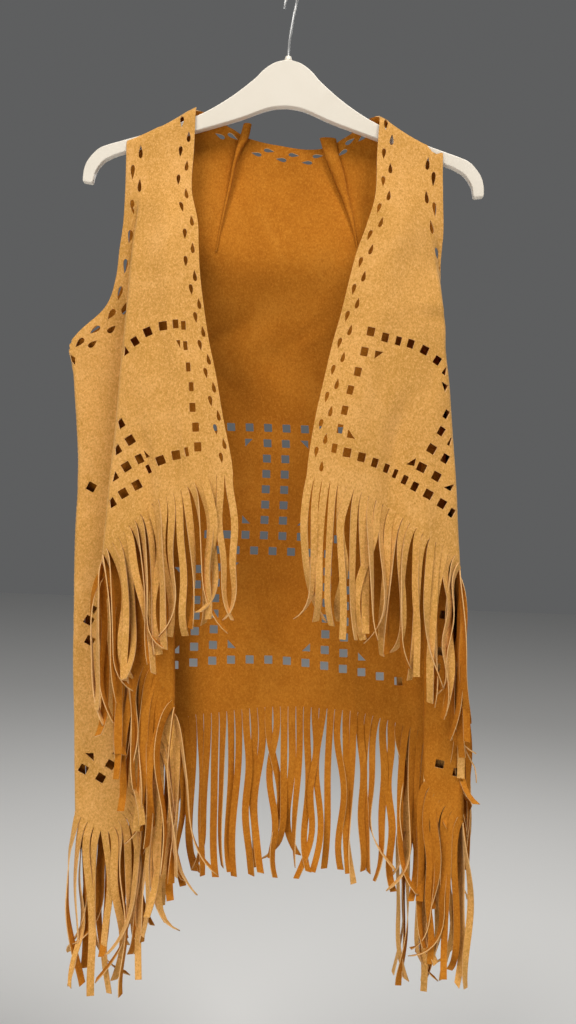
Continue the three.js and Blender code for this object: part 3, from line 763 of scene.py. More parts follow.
def hem_edge(drape, low):
    """The points along a hem, from the panel's end back to its start."""
    end = drape.length(low)
    count = int(end / (STRAND_PITCH / 2))
    points = [(end, low, True)]
    for k in range(count - 1, -1, -1):
        u = end * k / count
        points.append((u, drape.hem(u), k == 0))
    return points


def outline_of(drape):
    """The panel's edge on the flat cloth, with marks at what joins the next panel."""
    first_z = drape.top(0.0)
    last_z = drape.top(drape.length(SHOULDER_LEVEL))
    low = last_height(drape)
    points = [(0.0, first_z, True), *top_edge(drape), (drape.length(last_z), last_z, True)]
    points += [(drape.length(z), z, z <= UNDERARM_Z) for z in side_levels(last_z, low)]
    points += hem_edge(drape, low)
    start_low = drape.hem(0.0)
    if drape.name == "back":
        points += [(0.0, z, z <= UNDERARM_Z) for z in reversed(side_levels(first_z, start_low))]
    else:
        count = int((first_z - start_low) / EDGE_STEP)
        points += [(0.0, start_low + (first_z - start_low) * k / count, False) for k in range(1, count)]
    return points


def middle_of(cut):
    return [sum(point[k] for point in cut) / len(cut) for k in (0, 1)]


class Clearance:
    """Says whether a place on the flat cloth is clear of every edge and outside every hole."""

    EDGE_CELL = 3.0    # the edges' points are sorted into squares of this size
    HOLE_CELL = 10.0   # and the holes into squares of this size
    LEAST = 2.0        # nearest that a facet's point comes to an edge

    def __init__(self, outline, cuts):
        self.edge_cells = {}
        self.hole_cells = {}
        for loop in [[(u, z) for u, z, *_ in outline]] + cuts:
            for u, z in close_points(loop):
                self.edge_cells.setdefault(self.cell(u, z, self.EDGE_CELL), []).append((u, z))
        for cut in cuts:
            u, z = middle_of(cut)
            reach = self.HOLE_CELL
            low_i, low_j = self.cell(u - reach, z - reach, reach)
            high_i, high_j = self.cell(u + reach, z + reach, reach)
            for i in range(low_i, high_i + 1):
                for j in range(low_j, high_j + 1):
                    self.hole_cells.setdefault((i, j), []).append(cut)

    @staticmethod
    def cell(u, z, size):
        return int(u // size), int(z // size)

    def free(self, u, z):
        a, b = self.cell(u, z, self.EDGE_CELL)
        for i in (a - 1, a, a + 1):
            for j in (b - 1, b, b + 1):
                for edge_u, edge_z in self.edge_cells.get((i, j), ()):
                    if (edge_u - u) ** 2 + (edge_z - z) ** 2 < self.LEAST ** 2:
                        return False
        holes = self.hole_cells.get(self.cell(u, z, self.HOLE_CELL), ())
        return not any(inside(cut, u, z) for cut in holes)


def grid_points(drape, outline, cuts):
    """Points all over the cloth, closer together round the folds, and clear of every edge."""
    clearance = Clearance(outline, cuts)
    found = []

    def offer(u, z):
        if clearance.free(u, z) and drape.hem(u) + 2 <= z <= drape.top(u) - 0.5:
            found.append((u, z))

    rows = 22
    for row in range(1, rows):
        count = int(drape.length(SHOULDER_GRID_END) / 4.5)
        for k in range(1, count):
            u = drape.length(SHOULDER_LEVEL) * k / count
            top = drape.top(u)
            total = shoulder_arc(top - SHOULDER_GRID_END)
            offer(u, top - shoulder_depth(total * row / rows))
    z = SHOULDER_GRID_END
    while z > -915:
        stops = drape.lines[drape.level(z)[0]][2]
        for low, up in zip(stops, stops[1:]):
            parts = max(1, round((up - low) / CLOTH_GRID))
            for k in range(parts):
                offer(low + (up - low) * k / parts, z)
        z -= CLOTH_GRID
    return found


def turns_left(loop):
    return sum(ua * zb - ub * za for (ua, za), (ub, zb) in zip(loop, loop[1:] + loop[:1])) > 0


def panel_mesh(name, cuts):
    """The panel's facets in place: points, faces turned outwards, and which points join another panel."""
    drape = DRAPES[name]
    outline = outline_of(drape)
    points, edges, loops = [], [], []
    for loop in [[(u, z) for u, z, _ in outline]] + cuts:
        ring = list(range(len(points), len(points) + len(loop)))
        points += loop
        edges += list(zip(ring, ring[1:] + ring[:1]))
        loops.append(ring if turns_left(loop) else ring[::-1])
    points += grid_points(drape, outline, cuts)
    even = [evened(drape, u, z) for u, z in points]
    _, _, triangles, sources, _, homes = delaunay_2d_cdt(even, edges, loops, 0, 1e-5)
    if not all(sources):
        raise SystemExit(f"{name}: two cut lines cross")
    shaped = [drape.point(*points[source[0]]) * MM for source in sources]
    joins = [source[0] < len(outline) and outline[source[0]][2] for source in sources]
    faces = [face for face, home in zip(triangles, homes) if 0 in home and len(home) == 1]
    if name != "front_left":
        faces = [tuple(reversed(face)) for face in faces]
    return shaped, faces, joins


def fits(drape, cut):
    """A cut lies wholly in the cloth, clear of its edges."""
    for u, z in cut:
        if not 1.2 < u < drape.length(z) - 1.2 or z > drape.top(u) - 1.5 or z < drape.hem(u) + 2:
            return False
    return True


def apart(cuts):
    """Leaves out any cut that would run into one before it."""
    kept = []
    for cut in cuts:
        u, z = middle_of(cut)
        rim = close_points(cut)
        clash = False
        for other, other_rim, (other_u, other_z) in kept:
            if abs(other_u - u) < 20 and abs(other_z - z) < 20:
                gap = min(math.dist(a, b) for a in rim for b in other_rim)
                clash = clash or gap < 1.5 or inside(other, u, z)
        if not clash:
            kept.append((cut, rim, (u, z)))
    return [cut for cut, *_ in kept]


def close_points(loop, step=1.5):
    """Points at close steps along a loop."""
    points = []
    for (ua, za), (ub, zb) in zip(loop, loop[1:] + loop[:1]):
        parts = max(1, int(math.hypot(ub - ua, zb - za) / step))
        points += [(ua + (ub - ua) * k / parts, za + (zb - za) * k / parts) for k in range(parts)]
    return points


# ---------- pieces ----------
def mesh_object(name, points, faces, materials=(), edges=()):
    mesh = bpy.data.meshes.new(name)
    mesh.from_pydata(points, edges, faces)
    mesh.update()
    for material in materials:
        mesh.materials.append(material)
    piece = bpy.data.objects.new(name, mesh)
    bpy.context.scene.collection.objects.link(piece)
    return piece


def bands(count, around, closed=False):
    """Faces between rings of points; a closed set also joins the last ring to the first."""
    faces = []
    rings = count + (0 if closed else 1)
    for i in range(count):
        low, high = i * around, (i + 1) % rings * around
        for k in range(around):
            on = (k + 1) % around
            faces.append((low + k, low + on, high + on, high + k))
    return faces


def settled(piece):
    """Turns a piece and its modifiers into one plain mesh."""
    bpy.context.view_layer.update()
    shaped = piece.evaluated_get(bpy.context.evaluated_depsgraph_get())
    mesh = bpy.data.meshes.new_from_object(shaped)
    materials = list(mesh.materials)
    piece.modifiers.clear()
    old = piece.data
    piece.data = mesh
    bpy.data.meshes.remove(old)
    mesh.name = piece.name
    for k, material in enumerate(materials):
        mesh.materials[k] = material
    return piece


def faces_outwards(mesh):
    work = bmesh.new()
    work.from_mesh(mesh)
    bmesh.ops.recalc_face_normals(work, faces=work.faces)
    work.to_mesh(mesh)
    work.free()


def smoothed(mesh, sharpest=360.0):
    """Shades a mesh smoothly, but for where materials meet or it bends by more than so many degrees."""
    work = bmesh.new()
    work.from_mesh(mesh)
    for face in work.faces:
        face.smooth = True
    for edge in work.edges:
        looks = {face.material_index for face in edge.link_faces}
        bent = len(edge.link_faces) == 2 and edge.calc_face_angle(0) > math.radians(sharpest)
        edge.smooth = len(looks) < 2 and not bent
    work.to_mesh(mesh)
    work.free()


def give_wall(piece, thickness, offset):
    """Gives a sheet its thickness; its second face and its cut rim have their own materials."""
    wall = piece.modifiers.new("wall", "SOLIDIFY")
    wall.thickness = thickness * MM
    wall.offset = offset
    wall.use_even_offset = False
    wall.material_offset = 1
    wall.material_offset_rim = 2
    settled(piece)
    smoothed(piece.data)
    return piece


# ---------- materials ----------
class Tree:
    """A few short words for building a node tree."""

    def __init__(self, tree):
        self.tree = tree

    def add(self, kind, **settings):
        node = self.tree.nodes.new(kind)
        for key, value in settings.items():
            setattr(node, key, value)
        return node

    def link(self, source, target):
        self.tree.links.new(source, target)

    def feed(self, value, place):
        """Links a socket to a place, or sets a plain value there."""
        if isinstance(value, bpy.types.NodeSocket):
            self.link(value, place)
        else:
            place.default_value = value

    def noise(self, vector, scale, detail=2.0, rough=0.5, distortion=0.0):
        node = self.add("ShaderNodeTexNoise")
        node.inputs["Scale"].default_value = scale
        node.inputs["Detail"].default_value = detail
        node.inputs["Roughness"].default_value = rough
        node.inputs["Distortion"].default_value = distortion
        self.link(vector, node.inputs["Vector"])
        return node.outputs["Fac"]

    def spread(self, value, low, high, to_low=0.0, to_high=1.0):
        node = self.add("ShaderNodeMapRange")
        for key, amount in (("From Min", low), ("From Max", high), ("To Min", to_low), ("To Max", to_high)):
            node.inputs[key].default_value = amount
        self.link(value, node.inputs["Value"])
        return node.outputs["Result"]

    def mix(self, factor, a, b):
        node = self.add("ShaderNodeMix", data_type="RGBA")
        for value, place in ((factor, node.inputs[0]), (a, node.inputs[6]), (b, node.inputs[7])):
            self.feed(value, place)
        return node.outputs[2]

    def math(self, operation, a, b):
        node = self.add("ShaderNodeMath", operation=operation)
        self.feed(a, node.inputs[0])
        self.feed(b, node.inputs[1])
        return node.outputs[0]

    def sweep(self, chains, profile, across=None, breadth=None):
        """Draws a profile along chains of points, turned and widened by their attributes, as real mesh."""
        curve = self.add("GeometryNodeMeshToCurve")
        self.link(chains, curve.inputs["Mesh"])
        spine = curve.outputs["Curve"]
        made = self.add("GeometryNodeCurveToMesh")
        made.inputs["Fill Caps"].default_value = True
        if across:
            normal = self.add("GeometryNodeSetCurveNormal", mode="FREE")
            self.link(spine, normal.inputs["Curve"])
            self.link(self.attribute(across, "FLOAT_VECTOR"), normal.inputs["Normal"])
            spine = normal.outputs["Curve"]
        if breadth:
            self.link(self.attribute(breadth, "FLOAT"), made.inputs["Scale"])
        self.link(spine, made.inputs["Curve"])
        self.link(profile, made.inputs["Profile Curve"])
        real = self.add("GeometryNodeRealizeInstances")
        self.link(made.outputs["Mesh"], real.inputs["Geometry"])
        return real.outputs["Geometry"]

    def attribute(self, name, kind):
        node = self.add("GeometryNodeInputNamedAttribute", data_type=kind)
        node.inputs["Name"].default_value = name
        return node.outputs["Attribute"]

    def look(self, geometry, material, where=None):
        """Gives the geometry a material, everywhere or only where a condition holds."""
        node = self.add("GeometryNodeSetMaterial")
        self.link(geometry, node.inputs["Geometry"])
        self.link(material, node.inputs["Material"])
        if where:
            self.link(where, node.inputs["Selection"])
        return node.outputs["Geometry"]


def group(name, inputs, outputs, kind="Shader"):
    """A node group with named sockets: its tree, its inputs to read and its outputs to fill."""
    tree = bpy.data.node_groups.new(name, kind + "NodeTree")
    for label, socket, default in inputs:
        made = tree.interface.new_socket(name=label, in_out="INPUT", socket_type="NodeSocket" + socket)
        if default is not None:
            made.default_value = default
    for label, socket in outputs:
        tree.interface.new_socket(name=label, in_out="OUTPUT", socket_type="NodeSocket" + socket)
    words = Tree(tree)
    return words, words.add("NodeGroupInput").outputs, words.add("NodeGroupOutput").inputs


EFFECT_OUTPUTS = [("Color", "Color"), ("Roughness", "Float"), ("Height", "Float")]


def brushed_nap_group():
    """Suede nap: short fibres brushed this way and that, and faint clouding."""
    words, given, out = group("brushed_nap", [
        ("Vector", "Vector", None), ("Plain", "Color", (0.6, 0.35, 0.15, 1)),
        ("Raised", "Color", (0.7, 0.45, 0.2, 1)), ("Pressed", "Color", (0.45, 0.25, 0.1, 1)),
        ("Cloud", "Float", 0.5), ("Fibre", "Float", 0.5)], EFFECT_OUTPUTS)
    clouds = words.noise(given["Vector"], 16.0, 3.0, 0.55, 0.8)
    tufts = words.noise(given["Vector"], 420.0, 2.0, 0.6, 0.5)
    brushed = words.add("ShaderNodeMapping")
    brushed.inputs["Scale"].default_value = (1.0, 1.0, 0.5)
    brushed.inputs["Rotation"].default_value = (0.0, 0.3, 0.0)
    words.link(given["Vector"], brushed.inputs["Vector"])
    fibres = words.noise(brushed.outputs["Vector"], 900.0, 2.0, 0.7, 0.5)
    specks = words.noise(given["Vector"], 2100.0, 2.0, 0.6)
    grain = words.math("ADD", words.math("MULTIPLY", tufts, 0.5), words.math("MULTIPLY", fibres, 0.5))
    colour = given["Plain"]
    for pattern, strength, reach in ((clouds, "Cloud", 0.25), (grain, "Fibre", 0.16)):
        for tone, side in (("Raised", 1), ("Pressed", -1)):
            share = words.math("MULTIPLY", words.spread(pattern, 0.5, 0.5 + side * reach), given[strength])
            colour = words.mix(share, colour, given[tone])
    words.link(colour, out["Color"])
    words.link(words.spread(tufts, 0.3, 0.7, 0.84, 0.98), out["Roughness"])
    height = words.math("ADD", words.math("MULTIPLY", tufts, 0.5), words.math("MULTIPLY", fibres, 0.35))
    words.link(words.math("ADD", height, words.math("MULTIPLY", specks, 0.15)), out["Height"])
    return words.tree


def handled_group():
    """The soft unevenness and small scuffs of a moulded or plated thing that is handled."""
    words, given, out = group("handled", [
        ("Vector", "Vector", None), ("Plain", "Color", (0.8, 0.8, 0.8, 1)),
        ("Worn", "Color", (0.6, 0.6, 0.6, 1)), ("Smooth", "Float", 0.3), ("Scuff", "Float", 0.2)],
        EFFECT_OUTPUTS)
    soft = words.noise(given["Vector"], 22.0, 3.0, 0.5, 0.4)
    scuffs = words.noise(given["Vector"], 420.0, 4.0, 0.7, 1.2)
    marks = words.math("MULTIPLY", words.spread(scuffs, 0.6, 0.75), given["Scuff"])
    tone = words.math("MULTIPLY", words.spread(soft, 0.35, 0.7), 0.25)
    colour = words.mix(words.math("ADD", marks, tone), given["Plain"], given["Worn"])
    words.link(colour, out["Color"])
    scratched = words.math("MULTIPLY", words.spread(scuffs, 0.4, 0.75), 0.14)
    words.link(words.math("ADD", given["Smooth"], scratched), out["Roughness"])
    words.link(words.math("ADD", words.math("MULTIPLY", soft, 0.7), words.math("MULTIPLY", scuffs, 0.08)),
               out["Height"])
    return words.tree


def material(name, effect, values, bump, distance, **shader_values):
    """A material from one effect; bump is the strength of its relief and distance its height in metres."""
    made = bpy.data.materials.new(name)
    made.use_nodes = True
    words = Tree(made.node_tree)
    shader = next(node for node in words.tree.nodes if node.type == "BSDF_PRINCIPLED")
    for key, value in shader_values.items():
        shader.inputs[key.replace("_", " ")].default_value = value
    place = words.add("ShaderNodeTexCoord")
    node = words.add("ShaderNodeGroup", node_tree=effect)
    words.link(place.outputs["Object"], node.inputs["Vector"])
    for key, value in values.items():
        node.inputs[key].default_value = value
    words.link(node.outputs["Color"], shader.inputs["Base Color"])
    words.link(node.outputs["Roughness"], shader.inputs["Roughness"])
    relief = words.add("ShaderNodeBump")
    relief.inputs["Strength"].default_value = bump
    relief.inputs["Distance"].default_value = distance
    words.link(node.outputs["Height"], relief.inputs["Height"])
    words.link(relief.outputs["Normal"], shader.inputs["Normal"])
    return made


NAP = brushed_nap_group()
HANDLED = handled_group()
SUEDE_FACE = material("suede_face", NAP, {
    "Plain": (0.62, 0.31, 0.075, 1), "Raised": (0.80, 0.43, 0.145, 1), "Pressed": (0.44, 0.215, 0.036, 1),
    "Cloud": 0.5, "Fibre": 0.85}, 0.9, 0.0009, Sheen_Weight=0.45, Sheen_Roughness=0.42,
    Sheen_Tint=(1.0, 0.74, 0.42, 1), Specular_IOR_Level=0.1)
SUEDE_INSIDE = material("suede_inside", NAP, {
    "Plain": (0.43, 0.145, 0.011, 1), "Raised": (0.59, 0.235, 0.028, 1), "Pressed": (0.30, 0.083, 0.004, 1),
    "Cloud": 0.4, "Fibre": 0.6}, 0.6, 0.0006, Sheen_Weight=0.06, Sheen_Roughness=0.5,
    Sheen_Tint=(1.0, 0.62, 0.2, 1), Specular_IOR_Level=0.08)
CUT_EDGE = material("suede_cut_edge", NAP, {
    "Plain": (0.68, 0.39, 0.15, 1), "Raised": (0.80, 0.52, 0.25, 1), "Pressed": (0.54, 0.27, 0.08, 1),
    "Cloud": 0.3, "Fibre": 0.4}, 0.3, 0.0002, Sheen_Weight=0.1, Specular_IOR_Level=0.2)
HANGER_PLASTIC = material("hanger_plastic", HANDLED, {
    "Plain": (0.76, 0.70, 0.60, 1), "Worn": (0.66, 0.59, 0.48, 1), "Smooth": 0.3, "Scuff": 0.2},
    0.08, 0.0006, Specular_IOR_Level=0.5, Coat_Weight=0.15, Coat_Roughness=0.25)
HOOK_STEEL = material("hook_steel", HANDLED, {
    "Plain": (0.86, 0.86, 0.85, 1), "Worn": (0.68, 0.67, 0.65, 1), "Smooth": 0.36, "Scuff": 0.3},
    0.05, 0.0002, Metallic=1.0)
SUEDE_LOOKS = [SUEDE_FACE, SUEDE_INSIDE, CUT_EDGE]


# ---------- the cloth of the vest, in one piece ----------
def make_vest_cloth():
    """The three panels welded where they meet: the piece, and the area of its cloth in square metres."""
    settle_hems()
    cuts = {"front_right": cuts_front_right(), "front_left": cuts_front_left(), "back": cuts_back()}
    points, faces, joins = [], [], []
    for name, drape in DRAPES.items():
        kept = apart([cut for cut in cuts[name] if fits(drape, cut)])
        made, triangles, joined = panel_mesh(name, kept)
        first = len(points)
        points += made
        faces += [tuple(i + first for i in tri) for tri in triangles]
        joins += joined
    piece = mesh_object("vest_cloth", points, faces, SUEDE_LOOKS)
    work = bmesh.new()
    work.from_mesh(piece.data)
    work.verts.ensure_lookup_table()
    edge = [vert for vert, joined in zip(work.verts, joins) if joined]
    bmesh.ops.remove_doubles(work, verts=edge, dist=WELD * MM)
    area = sum(face.calc_area() for face in work.faces)
    work.to_mesh(piece.data)
    work.free()
    return give_wall(piece, WALL, 0.0), area


# ---------- the fringe ----------
def strand_tree():
    """Turns each chain of points into a flat strand whose faces and cut edges have their own looks."""
    words, given, out = group("cut_strands", [
        ("Chains", "Geometry", None), ("Width", "Float", 8.0 * MM), ("Thickness", "Float", WALL * MM),
        ("Face", "Material", None), ("Inside", "Material", None), ("Edge", "Material", None)],
        [("Strands", "Geometry")], "Geometry")
    profile = words.add("GeometryNodeCurvePrimitiveQuadrilateral")
    words.link(given["Width"], profile.inputs["Width"])
    words.link(given["Thickness"], profile.inputs["Height"])
    place = words.add("GeometryNodeInputPosition")
    part = words.add("ShaderNodeSeparateXYZ")
    words.link(place.outputs["Position"], part.inputs["Vector"])
    side = words.add("GeometryNodeCaptureAttribute")
    side.capture_items.new("FLOAT", "side")
    words.link(profile.outputs["Curve"], side.inputs["Geometry"])
    words.link(part.outputs["Y"], side.inputs["side"])
    strands = words.sweep(given["Chains"], side.outputs["Geometry"], "across", "breadth")
    level = words.math("DIVIDE", side.outputs["side"], words.math("MULTIPLY", given["Thickness"], 0.5))
    strands = words.look(strands, given["Edge"])
    strands = words.look(strands, given["Face"], words.math("GREATER_THAN", level, 0.5))
    strands = words.look(strands, given["Inside"], words.math("LESS_THAN", level, -0.5))
    words.link(strands, out["Strands"])
    return words.tree


STRANDS = strand_tree()


def shaped_by(piece, tree, **values):
    """Turns a piece into what a tree makes of it, with the tree's named inputs set by their identifiers."""
    maker = piece.modifiers.new(tree.name, "NODES")
    maker.node_group = tree
    for item in tree.interface.items_tree:
        if item.item_type == "SOCKET" and item.in_out == "INPUT" and item.name in values:
            maker[item.identifier] = values[item.name]
    return settled(piece)


# How a cut strand falls. Angles are in radians; spreads are those of a normal distribution.
FALL = {
    "bend": (9.0, 18.0),         # over what length it turns from the hem's way into its fall
    "drift": 0.035,              # spread of its slant from the plumb line
    "sway": (0.11, 0.07),        # spread of its waves, across and to the front
    "wave": (80, 190),           # length of a wave
    "root_turn": (0.26, 0.35),   # spread of its twist near the hem, and what a slanting hem adds
    "tip_turn": 0.75,            # spread of its twist at the tip
    "twisted": (0.22, 1.6, 3.1),  # share of the strands that twist right round, and how far
    "curl": 0.35,                # spread of the curl at the tip
    "curled": (0.3, 0.6, 1.25),  # share of the strands with a strong curl, and how strong
    "curl_from": (0.5, 0.78),    # where on its length a curl begins
    "uneven": (-9, 6),           # how much longer it is than its neighbours
    "narrow": (0.82, 1.0),       # how narrow it is below the hem
    "gather": 0.085,             # the slant that neighbours share
    "least_root": 3.5,           # a strand with less room at the hem is left out
}


def hem_line(drape):
    """The hem at close steps: distance along the cloth, and distance along the hem."""
    us = np.arange(0.0, drape.length(last_height(drape)), 1.0)
    zs = np.array([drape.hem(u) for u in us])
    return us, distances(np.column_stack([us, zs]))


def kept_in_room(way, place):
    """Turns a way aside before it leaves the room that the strands have."""
    for axis, (low, high) in ((0, ROOM["x"]), (1, ROOM["y"])):
        way[axis] = clamp(way[axis], (low - place[axis]) / ROOM_EASE, (high - place[axis]) / ROOM_EASE)
    return way.normalized()


def fall_of(root, outwards, across, length, gather, rng):
    """A strand's path: out of the hem and over into its fall, with the waves, twist and curl of a strip."""
    down = Vector((math.sin(LEAN), 0.0, -math.cos(LEAN)))
    bend = rng.uniform(*FALL["bend"])
    drift = Vector((gather + rng.gauss(0, FALL["drift"]), rng.gauss(0, FALL["drift"]), 0.0))
    sway = Vector((rng.gauss(0, FALL["sway"][0]), rng.gauss(0, FALL["sway"][1]), 0.0))
    wave = rng.uniform(*FALL["wave"])
    start = rng.uniform(0, 2 * math.pi)
    plain, slanting = FALL["root_turn"]
    root_turn = rng.gauss(0, plain + slanting * outwards.angle(down))
    tip_turn = rng.gauss(0, FALL["tip_turn"])
    share, least, most = FALL["twisted"]
    if rng.random() < share:
        tip_turn = rng.choice((-1, 1)) * rng.uniform(least, most)
    curl = rng.gauss(0, FALL["curl"])
    share, least, most = FALL["curled"]
    if rng.random() < share:
        curl = rng.choice((-1, 1, 1)) * rng.uniform(least, most)
    curl_from = rng.uniform(*FALL["curl_from"])
    place = root.copy()
    side = across.normalized()
    points, sides = [], []
    run = 0.0
    for k in range(STRAND_STEPS + 1):
        s = length * (k / STRAND_STEPS) ** 1.12
        far = s / length
        let_go = 1 - math.exp(-s / bend)
        way = outwards * (1 - let_go) + down * let_go
        phase = 2 * math.pi * s / wave + start
        way += drift * let_go * (1 - 0.6 * far) + sway * math.sin(phase) * let_go
        way.y -= 0.25 * clamp((place.y - root.y) / 15.0, -1.0, 1.0) ** 3
        way.normalize()
        side = (side - way * side.dot(way)).normalized()
        turn = root_turn * (1 - math.exp(-s / (1.7 * bend))) + tip_turn * far ** 1.4
        axis = Quaternion(way, turn) @ side
        way = Quaternion(axis, curl * max(0.0, (far - curl_from) / (1 - curl_from)) ** 1.4) @ way
        way = kept_in_room(way, place)
        place = place + way * (s - run)
        run = s
        points.append(place * MM)
        sides.append(Quaternion(way, turn) @ side)
    return points, sides


def strand_root(drape, ends, pitch):
    """Where a strand leaves the hem: its root, the way out of the hem, and its breadth across."""
    (u_left, z_left), (u, z), (u_right, z_right) = ends
    left, middle, right = (drape.point(*end) for end in ends)
    across = (right - left) * (1 if drape.name == "front_left" else -1)
    out_u, out_z = (z_right - z_left) / pitch, (u_left - u_right) / pitch
    beyond = drape.point(clamp(u + out_u * 4, 0.5, drape.length(z) - 0.5), z + out_z * 4)
    outwards = beyond - middle
    outwards -= across * (outwards.dot(across) / across.length_squared)
    outwards.y *= 0.6
    outwards.normalize()
    centre = (left + right) * 0.25 + middle * 0.5
    return centre - outwards * 0.4, outwards, across


def make_fringe(name, seed, reach, lean=lambda u: 0.0):
    """The strands of one hem; reach and lean give their length and slant along the cloth."""
    drape = DRAPES[name]
    rng = random.Random(seed)
    us, run = hem_line(drape)
    count = int(run[-1] / STRAND_PITCH)
    pitch = run[-1] / count
    points, edges, sides, breadths = [], [], [], []
    for k in range(count):
        places = [float(np.interp(pitch * (k + share), run, us)) for share in (0.0, 0.5, 1.0)]
        root, outwards, across = strand_root(drape, [(u, drape.hem(u)) for u in places], pitch)
        if across.length < FALL["least_root"]:
            continue
        length = reach(places[1]) + rng.uniform(*FALL["uneven"])
        gather = FALL["gather"] * noise.noise(Vector((k * 0.42, seed * 1.7, 2.0))) + lean(places[1])
        path, turns = fall_of(root, outwards, across, length, gather, rng)
        first = len(points)
        points += path
        sides += turns
        edges += [(first + i, first + i + 1) for i in range(len(path) - 1)]
        narrow = rng.uniform(*FALL["narrow"])
        breadths += [narrow + (1 - narrow) * math.exp(-i / 2.5) for i in range(len(path))]
    piece = mesh_object("fringe_strands_" + name, points, [], edges=edges)
    across = piece.data.attributes.new("across", "FLOAT_VECTOR", "POINT")
    across.data.foreach_set("vector", [number for side in sides for number in side])
    breadth = piece.data.attributes.new("breadth", "FLOAT", "POINT")
    breadth.data.foreach_set("value", breadths)
    shaped_by(piece, STRANDS, Width=(pitch - SLIT) * MM, Thickness=WALL * MM,
              Face=SUEDE_FACE, Inside=SUEDE_INSIDE, Edge=CUT_EDGE)
    for layer in [a for a in piece.data.attributes if a.name in ("across", "breadth", "side")]:
        piece.data.attributes.remove(layer)
    smoothed(piece.data)
    return piece


# ---------- the darts ----------
def make_dart(name, rows):
    """A dart's ridge on the inside of the back: a fold of the cloth, open at the neck, down to a point."""
    drape = DRAPES["back"]
    levels, around = 44, 18
    points = []
    for i in range(levels + 1):
        z = rows[0][0] + (rows[-1][0] - rows[0][0]) * i / levels
        row = section(DART_COLUMNS, rows, z)
        half, stand = (row["right"] - row["left"]) / 2, row["stand"]
        x = (row["right"] + row["left"]) / 2 + 0.35 * noise.noise(Vector((z * 0.07, 4.0, half)))
        seat_z = min(z, top_height(x) - 1)
        seat = drape.point(drape.at_x(x, seat_z), seat_z).y - WALL
        for k in range(around):
            angle = 2 * math.pi * k / around
            across = math.copysign(abs(math.cos(angle)) ** 0.85, math.cos(angle)) * half
            points.append(Vector((x + across, seat - stand / 2 * (1 + math.sin(angle)), z)) * MM)
    piece = mesh_object(name, points, bands(levels, around), [SUEDE_INSIDE, SUEDE_FACE, CUT_EDGE])
    faces_outwards(piece.data)
    return give_wall(piece, 0.6, -1.0)


# ---------- the hanger ----------
# Half the hanger's outline, from the middle out along its top and back along its underside: x, z.
HANGER_TOP = [(0, -80), (14, -84), (25.5, -92), (36.5, -103.5), (62.5, -124.5), (96, -144.5),
              (144, -163.5), (171, -172.5), (188, -178), (197, -182), (204, -188.5), (210, -197),
              (213, -206), (213.8, -216)]
HANGER_TIP = [(213.2, -218.2), (204.5, -219.5), (202.6, -217.6)]
HANGER_UNDER = [(201.2, -209.5), (198.2, -203), (192.5, -195.8), (185, -191), (168.5, -184.5), (98, -161),
                (50, -145), (28, -136), (14, -131.5), (0, -130)]
HANGER_DEEP = 12.0
# Its rounded edges: how far in, and how far from its front or rear face.
HANGER_FRONT_EDGE = [(1.1, 0.0), (0.5, 0.15), (0.15, 0.5), (0.0, 1.1)]
HANGER_REAR_EDGE = [(2.6, 0.0), (1.5, 0.5), (0.6, 1.6), (0.0, 4.2)]


def curve_through(points, parts=5):
    """A smooth line through points."""
    line = []
    for i in range(len(points) - 1):
        p0, p1 = points[max(i - 1, 0)], points[i]
        p2, p3 = points[i + 1], points[min(i + 2, len(points) - 1)]
        for k in range(parts):
            t = k / parts
            line.append(0.5 * (2 * p1 + (p2 - p0) * t + (2 * p0 - 5 * p1 + 4 * p2 - p3) * t * t
                               + (3 * p1 - p0 - 3 * p2 + p3) * t ** 3))
    return line + [points[-1]]


def hanger_outline():
    top, under = (curve_through([np.array(point) for point in run]) for run in (HANGER_TOP, HANGER_UNDER))
    half = [tuple(point) for point in (*top, *HANGER_TIP, *under)]
    return half + [(-x, z) for x, z in reversed(half[1:-1])]


def make_hanger():
    """The moulded hanger: one flat arm whose edges are rounded, more so behind."""
    outline = hanger_outline()
    count = len(outline)
    inwards = []
    for k in range(count):
        (ax, az), (bx, bz) = outline[k - 1], outline[(k + 1) % count]
        size = math.hypot(bx - ax, bz - az)
        inwards.append(((bz - az) / size, (ax - bx) / size))
    layers = [(inset, depth - HANGER_DEEP / 2) for inset, depth in HANGER_FRONT_EDGE]
    layers += [(inset, HANGER_DEEP / 2 - depth) for inset, depth in reversed(HANGER_REAR_EDGE)]
    points = []
    for inset, y in layers:
        for (x, z), (nx, nz) in zip(outline, inwards):
            points.append(Vector((x + nx * inset, y, z + nz * inset)) * MM)
    last = len(points) - count
    faces = bands(len(layers) - 1, count)
    faces += [list(range(count)), list(range(len(points) - 1, last - 1, -1))]
    piece = mesh_object("hanger_arm", points, faces, [HANGER_PLASTIC])
    work = bmesh.new()
    work.from_mesh(piece.data)
    bmesh.ops.triangulate(work, faces=[face for face in work.faces if len(face.verts) > 4])
    work.to_mesh(piece.data)
    work.free()
    faces_outwards(piece.data)
    smoothed(piece.data, 60)
    even = piece.modifiers.new("even", "WEIGHTED_NORMAL")
    even.keep_sharp = True
    even.weight = 100
    return settled(piece)


# The collar's section, as radius and height over the hook's foot.
COLLAR_SECTION = [(1.75, 0.0), (4.2, 0.0), (4.3, 0.5), (4.05, 1.4), (3.5, 3.2), (3.2, 4.2), (2.8, 4.6),
                  (1.75, 4.6)]
HOOK = {"wire": 1.5, "bend": 20.5, "centre_z": -19.0, "swivel": 70.0, "foot_z": -79.6}


def make_collar():
    """The small cone that the hook turns in."""
    around = 40
    points = []
    for radius, height in COLLAR_SECTION:
        for k in range(around):
            angle = 2 * math.pi * k / around
            points.append(Vector((radius * math.cos(angle), radius * math.sin(angle),
                                  HOOK["foot_z"] + height)) * MM)
    piece = mesh_object("hook_collar", points, bands(len(COLLAR_SECTION), around, True), [HANGER_PLASTIC])
    faces_outwards(piece.data)
    smoothed(piece.data, 50)
    return piece


